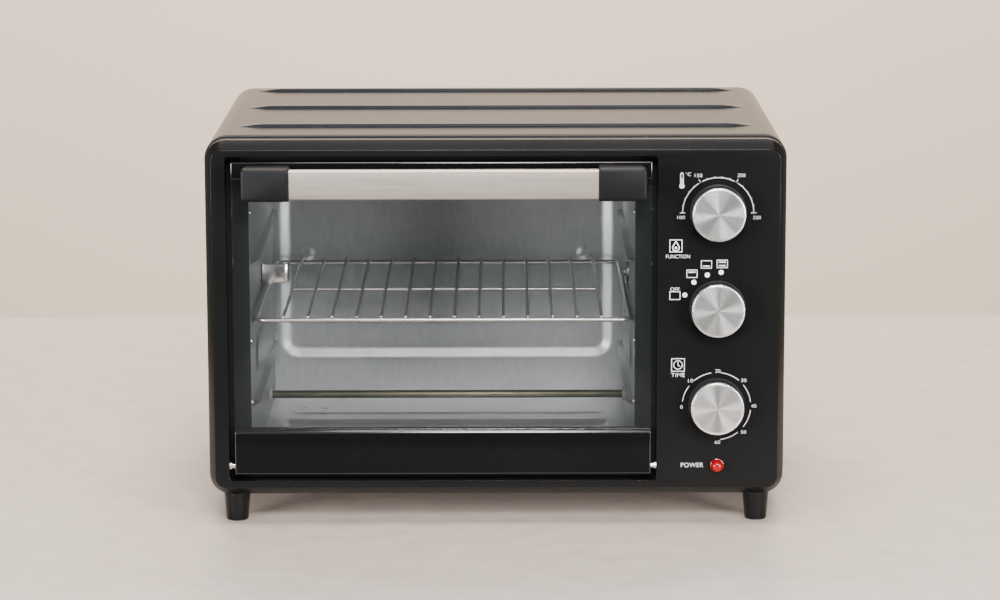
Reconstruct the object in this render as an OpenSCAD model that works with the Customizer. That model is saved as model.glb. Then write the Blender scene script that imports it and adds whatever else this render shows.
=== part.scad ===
// A countertop toaster oven: painted steel body, glass drop-down door, wire rack and three controls.
// X runs to the right, Y away from the door and Z up. The origin is on the table, under the
// middle of the whole oven, handle and back included.

/* [Body] */
// Width of the front frame
front_w = 440; // [380:1:560]
// Height of the front frame, without the feet
front_h = 274.3; // [235:0.1:340]
// Depth from the face of the front frame to the back edge of the housing
body_d = 321; // [280:1:420]
// Outer radius of the body's long corners
corner_r = 17; // [10:1:24]
// How far the housing stands proud of the front frame
housing_proud = 1.2; // [0.5:0.1:2.5]
// Thickness of the sheet steel
sheet_t = 0.6; // [0.5:0.1:1.2]
// Height of the feet
foot_h = 22.5; // [14:0.1:40]
// Radius of a foot at its top
foot_r = 10.2; // [7:0.5:13]

/* [Front frame] */
// Depth of the front frame, back to the housing
frame_d = 20; // [18:1:30]
// Depth of the sloped edge around the face
bevel_d = 10; // [4:1:14]
// Width of the sloped edge at the sides
bevel_side = 5; // [2:0.5:8]
// Width of the sloped edge at the top and bottom
bevel_top = 6.8; // [2:0.2:9]
// Wall thickness of the front frame
frame_t = 2.4; // [1.6:0.1:3]
// Thickness of the steel plate behind the door and the controls
plate_t = 0.8; // [0.6:0.1:1.6]
// Width of the face to the left of the door recess
rail_left = 15.7; // [12:0.1:24]
// Height of the face above the door recess
rail_top = 11.5; // [9:0.1:20]
// Height of the face below the door recess
rail_bottom = 11.9; // [9:0.1:20]
// Width of the control panel
panel_w = 97.4; // [88:0.2:120]

/* [Door] */
// Gap between the door and its recess at the sides and the top
door_gap = 4.4; // [3:0.1:6]
// Gap between the door and its recess along the bottom edge
door_low_gap = 5.4; // [3:0.1:8]
// Thickness of the door's rails
door_t = 14; // [11:0.5:16]
// Height of the bottom rail
bottom_rail_h = 34.3; // [24:0.1:50]
// Height of the top rail
top_rail_h = 13; // [8:0.5:15]
// Thickness of the glass
glass_t = 4; // [3:0.5:5]
// Distance from the door's face back to the glass
glass_set = 3; // [2:0.5:5]
// Radius of a hinge pin
pin_r = 2.25; // [1.5:0.05:3]
// Height of the hinge pins above the door's bottom edge
hinge_rise = 5; // [4.8:0.1:6]
// Radial clearance of the hinge pins in the door
pin_clear = 0.08; // [0.03:0.01:0.1]
// How far the handle stands out from the door's face
handle_reach = 32; // [26:1:45]
// Height of the handle
handle_h = 25; // [20:0.5:30]
// Width of each handle end cap
handle_cap_w = 37; // [25:0.5:50]
// Distance from the door's side to the handle
handle_inset = 9.5; // [4:0.5:25]

/* [Cavity] */
// Distance from the left side of the door recess to the cavity
cavity_left = 16.3; // [12:0.1:24]
// Distance from the right side of the door recess to the cavity
cavity_right = 16.4; // [12:0.1:24]
// Space behind the cavity, up to the back edge of the housing
cavity_rear = 21.8; // [20:0.2:40]
// Height of the cavity floor above the underside of the front frame
cavity_floor_z = 16.3; // [12:0.1:24]
// Distance from the top of the door recess down to the cavity's roof
cavity_top = 22.5; // [12:0.5:30]
// Depth of the pressed panel in the back wall
back_press_d = 5; // [2:0.5:8]
// Radius of a heater tube
heater_r = 3.25; // [2.5:0.05:4.5]
// Height of the lower heaters above the floor
heater_lift = 15; // [12:0.5:22]
// Radial clearance where a heater passes through its insulators
heater_clear = 0.15; // [0.05:0.05:0.4]

/* [Rack] */
// Height of the rack's wires above the floor
rack_lift = 118; // [60:1:150]
// Radius of the rack's frame wire
rack_frame_r = 1.7; // [1.2:0.1:2.5]
// Radius of the rack's cross wires
rack_wire_r = 1.3; // [0.9:0.1:2]
// Spacing of the cross wires
rack_pitch = 18.71; // [12:0.01:24]

/* [Controls] */
// Radius of a knob
knob_r = 20.4; // [16:0.2:24]
// How far a knob stands out from the panel
knob_h = 16; // [14:0.5:28]
// Distance from the top of the front frame to the highest knob's axis
knob_top = 54.4; // [40:0.2:60]
// Height of the lowest knob's axis above the underside of the front frame
knob_low = 71; // [60:0.1:80]
// How far the middle knob's axis lies above the point halfway between the other two
knob_rise = 1; // [-4:0.5:8]
// Distance from the front frame's right side to the knobs' axes
knob_inset = 52; // [44:0.2:60]
// Radius of a control shaft
shaft_r = 3; // [2:0.1:4]
// Radial clearance of a shaft in its control
shaft_clear = 0.06; // [0.03:0.01:0.1]
// Radius of the pilot lamp's lens
lens_r = 5.2; // [3:0.1:7]

/* [Hidden] */
$fn = 48;

// All sizes below are drawn with y = 0 at the face of the front frame and moved by front_y.
front_y = -(body_d - handle_reach) / 2;
// Gap that keeps neighbouring sheets apart
fit = 0.5;
// The front frame's edges
left_x = -front_w / 2;
right_x = front_w / 2;
low_z = foot_h + housing_proud;
high_z = low_z + front_h;
// The housing's outer edges
wrap_x = front_w / 2 + housing_proud;
wrap_low = foot_h;
wrap_high = high_z + housing_proud;
wrap_front = frame_d + 1.5;
rib_h = 2;
rib_r = 8;
rib_starts = [0.179, 0.553, 0.925];
rib_end = 25;
lip_w = 14;
// The door recess and the door
recess_l = left_x + rail_left;
recess_r = right_x - panel_w;
recess_b = low_z + rail_bottom;
recess_t = high_z - rail_top;
recess_back = frame_d - 2;
recess_corner = 3;
door_l = recess_l + door_gap;
door_r = recess_r - door_gap;
door_b = recess_b + door_low_gap;
door_top = recess_t - door_gap;
door_w = door_r - door_l;
door_mid = (door_l + door_r) / 2;
glass_front = glass_set;
glass_back = glass_set + glass_t;
hinge_y = door_t / 2;
hinge_z = door_b + hinge_rise;
rail_wall = 2;
rail_floor = 1.2;
rail_end = 4;
glass_seat = 14;
pin_out = 7;
pin_in = 12;
// The handle
handle_l = door_l + handle_inset;
handle_r = door_r - handle_inset + 4.5;
handle_top = door_top - 0.5;
handle_b = handle_top - handle_h;
handle_mid_z = (handle_top + handle_b) / 2;
bar_set = 1;
bar_t = 7;
// The front plate and the cavity
plate_front = recess_back;
plate_back = plate_front + plate_t;
plate_edge = frame_t + 0.6;
cav_l = recess_l + cavity_left;
cav_r = recess_r - cavity_right;
cav_mid = (cav_l + cav_r) / 2;
cav_b = low_z + cavity_floor_z;
cav_t = recess_t - cavity_top;
cav_back = body_d - cavity_rear;
cavity_d = cav_back - plate_back;
guide_h = 4;
guide_out = 5;
guide_gap = 0.3;
guide_zs = [46, rack_lift - rack_frame_r - guide_h - guide_gap, 158];
guide_front = plate_back + 18;
guide_back = cav_back - 8;
partition_x = cav_r + 8;
// Heaters
heater_low_z = cav_b + heater_lift;
heater_high_z = cav_t - heater_lift;
heater_front_y = plate_back + cavity_d * 0.2;
heater_rear_y = plate_back + cavity_d * 0.75;
heater_tail = 12;
insulator_r = heater_r + 2.2;
insulator_flange = heater_r + 4.5;
heater_rows = [[heater_front_y, heater_low_z], [heater_rear_y, heater_low_z],
               [heater_front_y, heater_high_z], [heater_rear_y, heater_high_z]];
// Rack
rack_z = cav_b + rack_lift;
rack_l = cav_l + 4.5;
rack_r = cav_r - 4.5;
rack_front = guide_front - 20.5;
rack_back = guide_back - 15;
rack_corner = 9;
rack_sink = 0.4;
rack_margin = 20;
rack_wires = floor((rack_r - rack_l - 2 * rack_margin) / rack_pitch) + 1;
// Controls
knob_x = right_x - knob_inset;
knob_high_z = high_z - knob_top;
knob_low_z = low_z + knob_low;
knob_zs = [knob_high_z, (knob_high_z + knob_low_z) / 2 + knob_rise, knob_low_z];
knob_gap = 1.2;
knob_hub_r = shaft_r + 3;
cap_t = 0.8;
cap_skirt = 3;
shaft_tip = -knob_h + 7;
shaft_end = plate_back + 14;
shaft_hole = shaft_r + 1.5;
control_screw_r = 1.4;
control_screw_x = 14;
lens_z = low_z + 23.9;
lens_x = knob_x + 0.8;
lamp_r = 2.8;
// Feet
foot_x = front_w / 2 - 19.5;
foot_front_y = 26;
foot_rear_y = body_d - 30;
foot_screw_r = 2;
// Back panel
back_y = body_d - 3;
back_in = sheet_t + 0.4;
back_lip = 12;
gland_x = right_x - 40;
gland_z = low_z + 40;
gland_bore_r = 3.75;
gland_body_r = 6.5;
gland_flange_r = 9;
gland_out = 9;
screw_r = 1.8;
screw_head_r = 3.6;
screw_head_t = 2;

module from_front() translate([0, front_y, 0]) children();

// A box from its lowest to its highest corner
module block(low, high) translate(low) cube(high - low);

// A round bar along X, and one along Y that runs from y0 to y1
module bar_x(x0, x1, y, z, r) translate([x0, y, z]) rotate([0, 90, 0]) cylinder(h = x1 - x0, r = r);
module bar_y(x, z, y0, y1, r) translate([x, y0, z]) rotate([-90, 0, 0]) cylinder(h = y1 - y0, r = r);

// A flat rectangle with round corners, drawn about its centre
module round_rect(w, h, r) {
  square([w - 2 * r, h], center = true);
  square([w, h - 2 * r], center = true);
  for (sx = [-1, 1], sz = [-1, 1])
    translate([sx * (w / 2 - r), sz * (h / 2 - r)]) circle(r);
}

// An upright plate with round corners, from x0, z0 to x1, z1 and from y0 back to y1
module upright(x0, z0, x1, z1, y0, y1, r)
  translate([(x0 + x1) / 2, y1, (z0 + z1) / 2]) rotate([90, 0, 0])
    linear_extrude(height = y1 - y0) round_rect(x1 - x0, z1 - z0, r);

// A vent slot along X or Z, cut through from y0 to y1
module slot_x(x, z, long, r, y0, y1) {
  block([x - long / 2 + r, y0, z - r], [x + long / 2 - r, y1, z + r]);
  for (s = [-1, 1]) bar_y(x + s * (long / 2 - r), z, y0, y1, r);
}

// A round head screw that points along +Y, with its head's face at y
module screw_y(x, z, y, long) {
  bar_y(x, z, y + screw_head_t, y + screw_head_t + long, screw_r);
  translate([x, y, z]) rotate([-90, 0, 0])
    cylinder(h = screw_head_t, r1 = screw_head_r * 0.7, r2 = screw_head_r);
}

// A coil about the X axis, swept as one tube: turns turns of pitch p and radius r
function coil_point(i, steps, r, p) =
  [p * i / steps, r * cos(360 * i / steps), r * sin(360 * i / steps)];
module coil_x(r, wire, turns, p, steps = 16, sides = 8) {
  count = turns * steps;
  points = [for (i = [0:count], k = [0:sides - 1])
    let (c = coil_point(i, steps, r, p), a = 360 * i / steps, b = 360 * k / sides)
      [c[0] + wire * sin(b), c[1] + wire * cos(b) * cos(a), c[2] + wire * cos(b) * sin(a)]];
  sidewalls = [for (i = [0:count - 1], k = [0:sides - 1])
    let (n = (k + 1) % sides)
      [i * sides + k, i * sides + n, (i + 1) * sides + n, (i + 1) * sides + k]];
  start = [[for (k = [sides - 1:-1:0]) k]];
  finish = [[for (k = [0:sides - 1]) count * sides + k]];
  polyhedron(points = points, faces = concat(sidewalls, start, finish));
}

/* ---- Housing ---- */

// A rib pressed up along the top: a low round-topped ridge with tapered ends
module top_rib(y) {
  half = wrap_x - rib_end;
  translate([0, y, wrap_high]) hull() {
    for (s = [-1, 1]) {
      translate([s * half, 0, -0.2]) cylinder(h = 0.2, r = rib_r * 0.5, $fn = 16);
      translate([s * (half - 22), 0, -0.2]) cylinder(h = rib_h + 0.2, r1 = rib_r, r2 = rib_r * 0.45, $fn = 24);
    }
  }
}

module wrap_section(inset) {
  w = 2 * (wrap_x - inset);
  h = wrap_high - wrap_low - 2 * inset;
  round_rect(w, h, corner_r - inset);
}

module housing_wrap() color("dimgray") from_front() {
  mid_z = (wrap_low + wrap_high) / 2;
  difference() {
    union() {
      translate([0, body_d, mid_z]) rotate([90, 0, 0])
        linear_extrude(height = body_d - wrap_front) difference() {
          wrap_section(0);
          wrap_section(sheet_t);
        }
      for (f = rib_starts) top_rib(wrap_front + f * (body_d - wrap_front) + rib_r);
    }
    // The underside is open between the two lips, where the base pan goes
    lip_x = wrap_x - corner_r - lip_w;
    block([-lip_x, 0, wrap_low - 1], [lip_x, body_d + 1, wrap_low + sheet_t + 1]);
    for (sx = [-1, 1], y = [foot_front_y, foot_rear_y])
      translate([sx * foot_x, y, wrap_low - 1]) cylinder(h = sheet_t + 2, r = foot_screw_r + 0.2);
    for (sx = [-1, 1], y = base_screw_ys)
      translate([sx * base_screw_x, y, wrap_low - 1]) cylinder(h = sheet_t + 2, r = screw_r + 0.2);
    // Cooling slots beside the controls
    for (row = [0:5], col = [0:4])
      translate([0, 60 + col * 26, low_z + 70 + row * 12]) {
        block([wrap_x - 3, -7, -1.5], [wrap_x + 1, 7, 1.5]);
        for (s = [-7, 7]) bar_x(wrap_x - 3, wrap_x + 1, s, 0, 1.5);
      }
  }
}

base_screw_x = wrap_x - corner_r - lip_w / 2;
base_screw_ys = [body_d * 0.3, body_d * 0.7];
base_l = wrap_x - corner_r - 0.7;
base_z = wrap_low + sheet_t;

module base_pan() color("silver") from_front() {
  difference() {
    union() {
      block([-base_l, wrap_front, base_z], [base_l, back_y - 14, base_z + sheet_t]);
      // Turned-up sides
      for (s = [-1, 1])
        block([s * base_l - (s > 0 ? sheet_t : 0), wrap_front, base_z],
              [s * base_l + (s < 0 ? sheet_t : 0), back_y - 14, base_z + 9]);
    }
    for (sx = [-1, 1], y = [foot_front_y, foot_rear_y])
      translate([sx * foot_x, y, base_z - 1]) cylinder(h = 4, r = foot_screw_r + 0.2);
    for (sx = [-1, 1], y = base_screw_ys)
      translate([sx * base_screw_x, y, base_z - 1]) cylinder(h = 4, r = screw_r + 0.2);
    // Air slots across the underside
    for (i = [0:7], y = [0.35, 0.65])
      translate([(i - 3.5) * 36, body_d * y, base_z - 1]) {
        block([-2, -22, 0], [2, 22, 4]);
        for (s = [-22, 22]) translate([0, s, 0]) cylinder(h = 4, r = 2);
      }
  }
}

module back_panel() color("dimgray") from_front() {
  x1 = wrap_x - back_in;
  z0 = wrap_low + back_in;
  z1 = wrap_high - back_in;
  difference() {
    upright(-x1, z0, x1, z1, back_y - back_lip, back_y, corner_r - back_in);
    upright(-x1 + sheet_t, z0 + sheet_t, x1 - sheet_t, z1 - sheet_t,
            back_y - back_lip - 1, back_y - sheet_t, corner_r - back_in - sheet_t);
    bar_y(gland_x, gland_z, back_y - 3, back_y + 1, gland_body_r);
    for (p = back_screw_spots) bar_y(p[0], p[1], back_y - 3, back_y + 1, screw_r + 0.2);
    // Cooling slots across the back
    for (row = [0:5], col = [0:3])
      slot_x((col - 1.5) * 84, high_z - 60 - row * 12, 64, 2, back_y - 3, back_y + 1);
  }
}
back_screw_spots = [for (sx = [-1, 1], z = [low_z + 24, high_z - 24]) [sx * (wrap_x - 26), z]];

module back_panel_screws() color("gray") from_front()
  for (p = back_screw_spots)
    translate([p[0], back_y + screw_head_t, p[1]]) rotate([0, 0, 180]) screw_y(0, 0, 0, 8);

module base_screws() color("gray") from_front()
  for (sx = [-1, 1], y = base_screw_ys)
    translate([sx * base_screw_x, y, wrap_low - screw_head_t]) rotate([90, 0, 0])
      screw_y(0, 0, 0, 8);

/* ---- Front frame and plate ---- */

module frame_outline(inset_x, inset_z, y0, y1, r)
  upright(left_x + inset_x, low_z + inset_z, right_x - inset_x, high_z - inset_z, y0, y1, r);

module front_frame() color([0.13, 0.13, 0.14]) from_front() {
  difference() {
    union() {
      frame_outline(0, 0, bevel_d, frame_d, corner_r - housing_proud);
      hull() {
        frame_outline(0, 0, bevel_d, bevel_d + 0.1, corner_r - housing_proud);
        frame_outline(bevel_side, bevel_top, 0, 0.1, corner_r - 9);
      }
    }
    // Hollow behind the control panel and the narrow rails
    difference() {
      frame_outline(frame_t, frame_t, bevel_d, frame_d + 1, corner_r - 5);
      upright(recess_l - frame_t, recess_b - frame_t, recess_r + frame_t, recess_t + frame_t,
              0, frame_d, recess_corner);
    }
    upright(recess_r + frame_t + 0.01, low_z + bevel_top + 4, right_x - bevel_side - 4,
            high_z - bevel_top - 4, frame_t, frame_d, 4);
    // The frame's inner edge stops short of the front plate
    block([left_x - 1 + frame_t, plate_front, low_z + frame_t],
          [right_x - frame_t, frame_d + 1, high_z - frame_t]);
    // The door recess goes right through
    upright(recess_l, recess_b, recess_r, recess_t, -1, frame_d + 1, recess_corner);
    for (z = knob_zs) bar_y(knob_x, z, -1, frame_t + 1, shaft_hole);
    bar_y(lens_x, lens_z, -1, frame_t + 1, lens_r - 0.8);
    // Sockets for the hinge pins
    bar_x(recess_l - pin_out, recess_l + 1, hinge_y, hinge_z, pin_r);
    bar_x(recess_r - 1, recess_r + pin_out, hinge_y, hinge_z, pin_r);
  }
}

module front_plate() color([0.16, 0.16, 0.17]) from_front() {
  difference() {
    upright(left_x + plate_edge, low_z + plate_edge, right_x - plate_edge, high_z - plate_edge,
            plate_front, plate_back, corner_r - 6);
    upright(cav_l, cav_b, cav_r, cav_t, plate_front - 1, plate_back + 1, 5);
    for (z = knob_zs) {
      bar_y(knob_x, z, plate_front - 1, plate_back + 1, shaft_hole);
      for (s = [-1, 1])
        bar_y(knob_x + s * control_screw_x, z, plate_front - 1, plate_back + 1, control_screw_r);
    }
    bar_y(lens_x, lens_z, plate_front - 1, plate_back + 1, lens_r);
  }
}

/* ---- Cooking cavity ---- */

// Three guide rails pressed into a side wall; side is 1 for the left wall and -1 for the right
module side_guides(wall, side)
  for (h = guide_zs)
    intersection() {
      block([min(wall, wall + side * guide_out), guide_front, cav_b + h],
            [max(wall, wall + side * guide_out), guide_back, cav_b + h + guide_h]);
      translate([wall, 0, cav_b + h + guide_h / 2]) rotate([-90, 0, 0])
        scale([guide_out / guide_h * 2, 1, 1]) cylinder(h = body_d, r = guide_h / 2 + 0.6);
    }

module side_wall(inner, side) {
  outer = inner - side * sheet_t;
  difference() {
    block([min(inner, outer), plate_back, cav_b - sheet_t],
          [max(inner, outer), cav_back, cav_t + sheet_t]);
    for (h = heater_rows)
      bar_x(min(inner, outer) - 1, max(inner, outer) + 1, h[0], h[1], insulator_r);
  }
}

module cavity_left_wall() color("lightgray") from_front() {
  side_wall(cav_l, 1);
  side_guides(cav_l, 1);
}

module cavity_right_wall() color("lightgray") from_front() {
  difference() {
    side_wall(cav_r, -1);
    bar_x(cav_r - 1, cav_r + 3, spit_y, spit_z, plug_r);
  }
  side_guides(cav_r, -1);
}

module cavity_roof() color("lightgray") from_front()
  block([cav_l, plate_back, cav_t], [cav_r, cav_back, cav_t + sheet_t]);

// The floor has a shallow pressed pan that catches crumbs
pan_side = 15;
pan_front = 40;
pan_rear = 181;
pan_d = 3;
module cavity_floor() color("silver") from_front() {
  low = cav_b - sheet_t;
  x0 = cav_l + pan_side;
  x1 = cav_r - pan_side;
  y0 = plate_back + pan_front;
  y1 = plate_back + pan_rear;
  difference() {
    union() {
      block([cav_l, plate_back, low], [cav_r, cav_back, cav_b]);
      translate([(x0 + x1) / 2, (y0 + y1) / 2, low - pan_d])
        linear_extrude(height = pan_d + sheet_t) round_rect(x1 - x0, y1 - y0, 8);
    }
    translate([(x0 + x1) / 2, (y0 + y1) / 2, low - pan_d + sheet_t])
      linear_extrude(height = pan_d + sheet_t + 1)
        round_rect(x1 - x0 - 2 * sheet_t, y1 - y0 - 2 * sheet_t, 8 - sheet_t);
  }
}

press_l = cav_l + 7;
press_r = cav_r - 11;
press_b = cav_b + 32;
press_t = cav_t - 12;
press_edge = 7;
module cavity_back_wall() color("lightgray") from_front() {
  difference() {
    union() {
      block([cav_l - sheet_t, cav_back, cav_b - sheet_t],
            [cav_r + sheet_t, cav_back + sheet_t, cav_t + sheet_t]);
      upright(press_l, press_b, press_r, press_t, cav_back, cav_back + back_press_d + sheet_t, 12);
    }
    hull() {
      upright(press_l + sheet_t, press_b + sheet_t, press_r - sheet_t, press_t - sheet_t,
              cav_back - 0.1, cav_back, 11);
      upright(press_l + press_edge, press_b + press_edge, press_r - press_edge,
              press_t - press_edge, cav_back, cav_back + back_press_d, 8);
    }
    for (p = wall_screw_spots)
      bar_y(p[0], p[1], cav_back, cav_back + back_press_d + 5, screw_r + 0.1);
  }
}
wall_screw_spots = [[press_l + 21, cav_b + 121], [press_r - 21, cav_b + 121]];

// Screws in the back wall, and along the front edges of the side walls
side_screw_zs = [52, 100, 200];
module cavity_screws() color("gainsboro") from_front() {
  for (p = wall_screw_spots)
    screw_y(p[0], p[1], cav_back + back_press_d - screw_head_t, 6);
  for (z = side_screw_zs) {
    translate([cav_l, plate_back + 8, cav_b + z]) rotate([0, 90, 0])
      cylinder(h = 1.4, r1 = 2.6, r2 = 1.6);
    translate([cav_r, plate_back + 8, cav_b + z]) rotate([0, -90, 0])
      cylinder(h = 1.4, r1 = 2.6, r2 = 1.6);
  }
}

// Bright steel shield between the hot cavity and the controls
module heat_partition() color("silver") from_front()
  difference() {
    union() {
      block([partition_x, frame_d + fit, base_z + sheet_t + fit],
            [partition_x + sheet_t, back_y - back_lip - fit, wrap_high - sheet_t - fit]);
      // A narrow tongue and a flange that meet the front plate
      block([partition_x, plate_back, low_z + 20],
            [partition_x + sheet_t, frame_d + 2 * fit, high_z - 20]);
      block([partition_x, plate_back, low_z + 20], [partition_x + 9, plate_back + 1, high_z - 20]);
    }
    for (h = heater_rows) bar_x(partition_x - 1, partition_x + 3, h[0], h[1], 9);
    bar_x(partition_x - 1, partition_x + 3, spit_y, spit_z, plug_r + 4);
  }

// One heater: a metal-sheathed rod with a thin pin at each end
module heater(row) {
  bar_x(cav_l - heater_tail, cav_r + heater_tail, row[0], row[1], heater_r);
  for (x = [cav_l - heater_tail - 8, cav_r + heater_tail])
    bar_x(x, x + 8, row[0], row[1], 1.2);
}
module heater_lower_front() color([0.4, 0.4, 0.32]) from_front() heater(heater_rows[0]);
module heater_lower_rear() color([0.4, 0.4, 0.32]) from_front() heater(heater_rows[1]);
module heater_upper_front() color([0.4, 0.4, 0.32]) from_front() heater(heater_rows[2]);
module heater_upper_rear() color([0.4, 0.4, 0.32]) from_front() heater(heater_rows[3]);

// Ceramic bushes that hold the heaters in the side walls, flange outside
module insulator(x, side, row)
  difference() {
    union() {
      translate([x - side * 2, 0, 0]) bar_x(min(0, side * 6), max(0, side * 6), row[0], row[1],
        insulator_r - 0.1);
      translate([x + side * (sheet_t + 0.1), 0, 0])
        bar_x(min(0, side * 3), max(0, side * 3), row[0], row[1], insulator_flange);
    }
    bar_x(x - 12, x + 12, row[0], row[1], heater_r + heater_clear);
  }
module heater_insulators() color("ivory") from_front()
  for (row = heater_rows) {
    insulator(cav_l, -1, row);
    insulator(cav_r, 1, row);
  }

/* ---- Spit fittings ---- */

spit_y = 150;
spit_z = cav_b + 132;
plug_r = 6;
module spit_bracket() color("gainsboro") from_front()
  difference() {
    union() {
      block([cav_l, spit_y - 8, spit_z - 9], [cav_l + 1.2, spit_y + 12, spit_z + 9]);
      block([cav_l, spit_y - 8, spit_z - 9], [cav_l + 22, spit_y - 6.8, spit_z + 9]);
      block([cav_l + 20.8, spit_y - 8, spit_z - 9], [cav_l + 22, spit_y + 10, spit_z + 9]);
    }
    bar_x(cav_l + 10, cav_l + 30, spit_y + 1, spit_z + 9, 5);
  }

module spit_hole_plug() color("gainsboro") from_front() {
  bar_x(cav_r, cav_r + sheet_t + 2, spit_y, spit_z, plug_r - 0.1);
  bar_x(cav_r - 2.5, cav_r, spit_y, spit_z, plug_r + 2);
  bar_x(cav_r - 5, cav_r - 2.5, spit_y, spit_z, 3);
}

/* ---- Feet ---- */

module foot(sx, y) from_front() translate([sx * foot_x, y, 0]) rotate_extrude()
  polygon([[foot_screw_r + 0.2, 5], [5, 5], [5, 0], [foot_r * 0.79, 0], [foot_r * 0.84, 1.6],
           [foot_r, foot_h], [foot_screw_r + 0.2, foot_h]]);
module foot_front_left() color([0.08, 0.08, 0.08]) foot(-1, foot_front_y);
module foot_front_right() color([0.08, 0.08, 0.08]) foot(1, foot_front_y);
module foot_rear_left() color([0.08, 0.08, 0.08]) foot(-1, foot_rear_y);
module foot_rear_right() color([0.08, 0.08, 0.08]) foot(1, foot_rear_y);

module foot_screws() color("gray") from_front()
  for (sx = [-1, 1], y = [foot_front_y, foot_rear_y]) translate([sx * foot_x, y, 2.5]) {
    cylinder(h = 2.5, r = 4);
    cylinder(h = base_z + sheet_t + 4, r = foot_screw_r);
  }

/* ---- Door ---- */

// Each hinge pin has a shoulder that stands against the side of the recess
pin_shoulder = 1.8;
pin_shoulder_r = pin_r + 1.2;
module hinge_pin_left() color("gainsboro") from_front() {
  bar_x(recess_l - pin_out, door_l + pin_in, hinge_y, hinge_z, pin_r);
  bar_x(recess_l, recess_l + pin_shoulder, hinge_y, hinge_z, pin_shoulder_r);
}
module hinge_pin_right() color("gainsboro") from_front() {
  bar_x(door_r - pin_in, recess_r + pin_out, hinge_y, hinge_z, pin_r);
  bar_x(recess_r - pin_shoulder, recess_r, hinge_y, hinge_z, pin_shoulder_r);
}

// The bottom rail is a hollow bar with solid ends; the glass drops into its top slot
module door_bottom_rail() color([0.06, 0.06, 0.07]) from_front() {
  top = door_b + bottom_rail_h;
  difference() {
    block([door_l, 0, door_b], [door_r, door_t, top]);
    block([door_l + rail_end, rail_wall, door_b + rail_floor],
          [door_r - rail_end, door_t - rail_wall, top - glass_seat - rail_wall]);
    // Slot for the glass
    block([door_l - 1, glass_front, top - glass_seat], [door_r + 1, glass_back, top + 1]);
    bar_x(door_l - 1, door_l + rail_end + 1, hinge_y, hinge_z, pin_r + pin_clear);
    bar_x(door_r - rail_end - 1, door_r + 1, hinge_y, hinge_z, pin_r + pin_clear);
  }
}

module door_top_rail() color([0.06, 0.06, 0.07]) from_front()
  difference() {
    block([door_l, 0, door_top - top_rail_h], [door_r, door_t - 3, door_top]);
    block([door_l - 1, glass_front, door_top - top_rail_h - 1],
          [door_r + 1, glass_back, door_top - 2]);
    for (x = handle_screw_xs)
      bar_y(x, handle_screw_z, -1, door_t + 1, screw_r + 0.2);
  }

module door_glass() color([0.7, 0.8, 0.8, 0.4]) from_front()
  difference() {
    block([door_l, glass_front, door_b + bottom_rail_h - glass_seat],
          [door_r, glass_back, door_top - 2]);
    for (x = handle_screw_xs)
      bar_y(x, handle_screw_z, glass_front - 1, glass_back + 1, screw_r + 0.2);
  }

handle_screw_xs = [handle_l + handle_cap_w / 2, handle_r - handle_cap_w / 2];
handle_screw_z = door_top - top_rail_h / 2 - 1;

// A handle end: a tapering block that stands on the door's face
module handle_cap(x0, x1, inner_side) {
  socket = 4;
  edge = inner_side > 0 ? x1 : x0;
  difference() {
    hull() {
      block([x0 + 1.5, -0.1, handle_b + 1.5], [x1 - 1.5, 0, handle_top - 1.5]);
      block([x0, -handle_reach + 4, handle_b], [x1, -handle_reach + 4.1, handle_top]);
      block([x0 + 1, -handle_reach, handle_b + 1.5], [x1 - 1, -handle_reach + 0.1, handle_top - 1.5]);
    }
    // Socket for the end of the bar
    block([edge - (inner_side > 0 ? socket : 1), -handle_reach + bar_set, handle_b + 1.2],
          [edge + (inner_side > 0 ? 1 : socket), -handle_reach + bar_set + bar_t, handle_top - 1.2]);
    bar_y((x0 + x1) / 2, handle_screw_z, -14, 1, screw_r);
  }
}
module handle_cap_left() color([0.15, 0.14, 0.15]) from_front()
  handle_cap(handle_l, handle_l + handle_cap_w, 1);
module handle_cap_right() color([0.15, 0.14, 0.15]) from_front()
  handle_cap(handle_r - handle_cap_w, handle_r, -1);

// The grip: a folded strip of steel between the two ends, open at the back
module handle_bar() color([0.75, 0.73, 0.7]) from_front() {
  x0 = handle_l + handle_cap_w - 3.5;
  x1 = handle_r - handle_cap_w + 3.5;
  y0 = -handle_reach + bar_set;
  difference() {
    block([x0, y0, handle_b + 1.3], [x1, y0 + bar_t - 0.1, handle_top - 1.3]);
    block([x0 - 1, y0 + 1.5, handle_b + 2.8], [x1 + 1, y0 + bar_t + 1, handle_top - 2.8]);
  }
}

module handle_screws() color("gray") from_front()
  for (x = handle_screw_xs)
    translate([x, door_t - 3 + screw_head_t, handle_screw_z]) rotate([0, 0, 180])
      screw_y(0, 0, 0, door_t - 3 + 9);

// Closing springs: one coil on each hinge pin, inside the bottom rail
spring_wire = 0.5;
spring_turns = 4;
module hinge_springs() color("gray") from_front() {
  r = pin_r + spring_wire + 0.35;
  p = 1.3;
  for (x = [door_l + 5, door_r - 5 - spring_turns * p])
    translate([x, hinge_y, hinge_z]) coil_x(r, spring_wire, spring_turns, p);
}

/* ---- Rack ---- */

// A bent corner of the rack's frame
module rack_bend(x, y, turn)
  translate([x, y, rack_z]) rotate([0, 0, turn])
    rotate_extrude(angle = 90) translate([rack_corner, 0]) circle(rack_frame_r);

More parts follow.
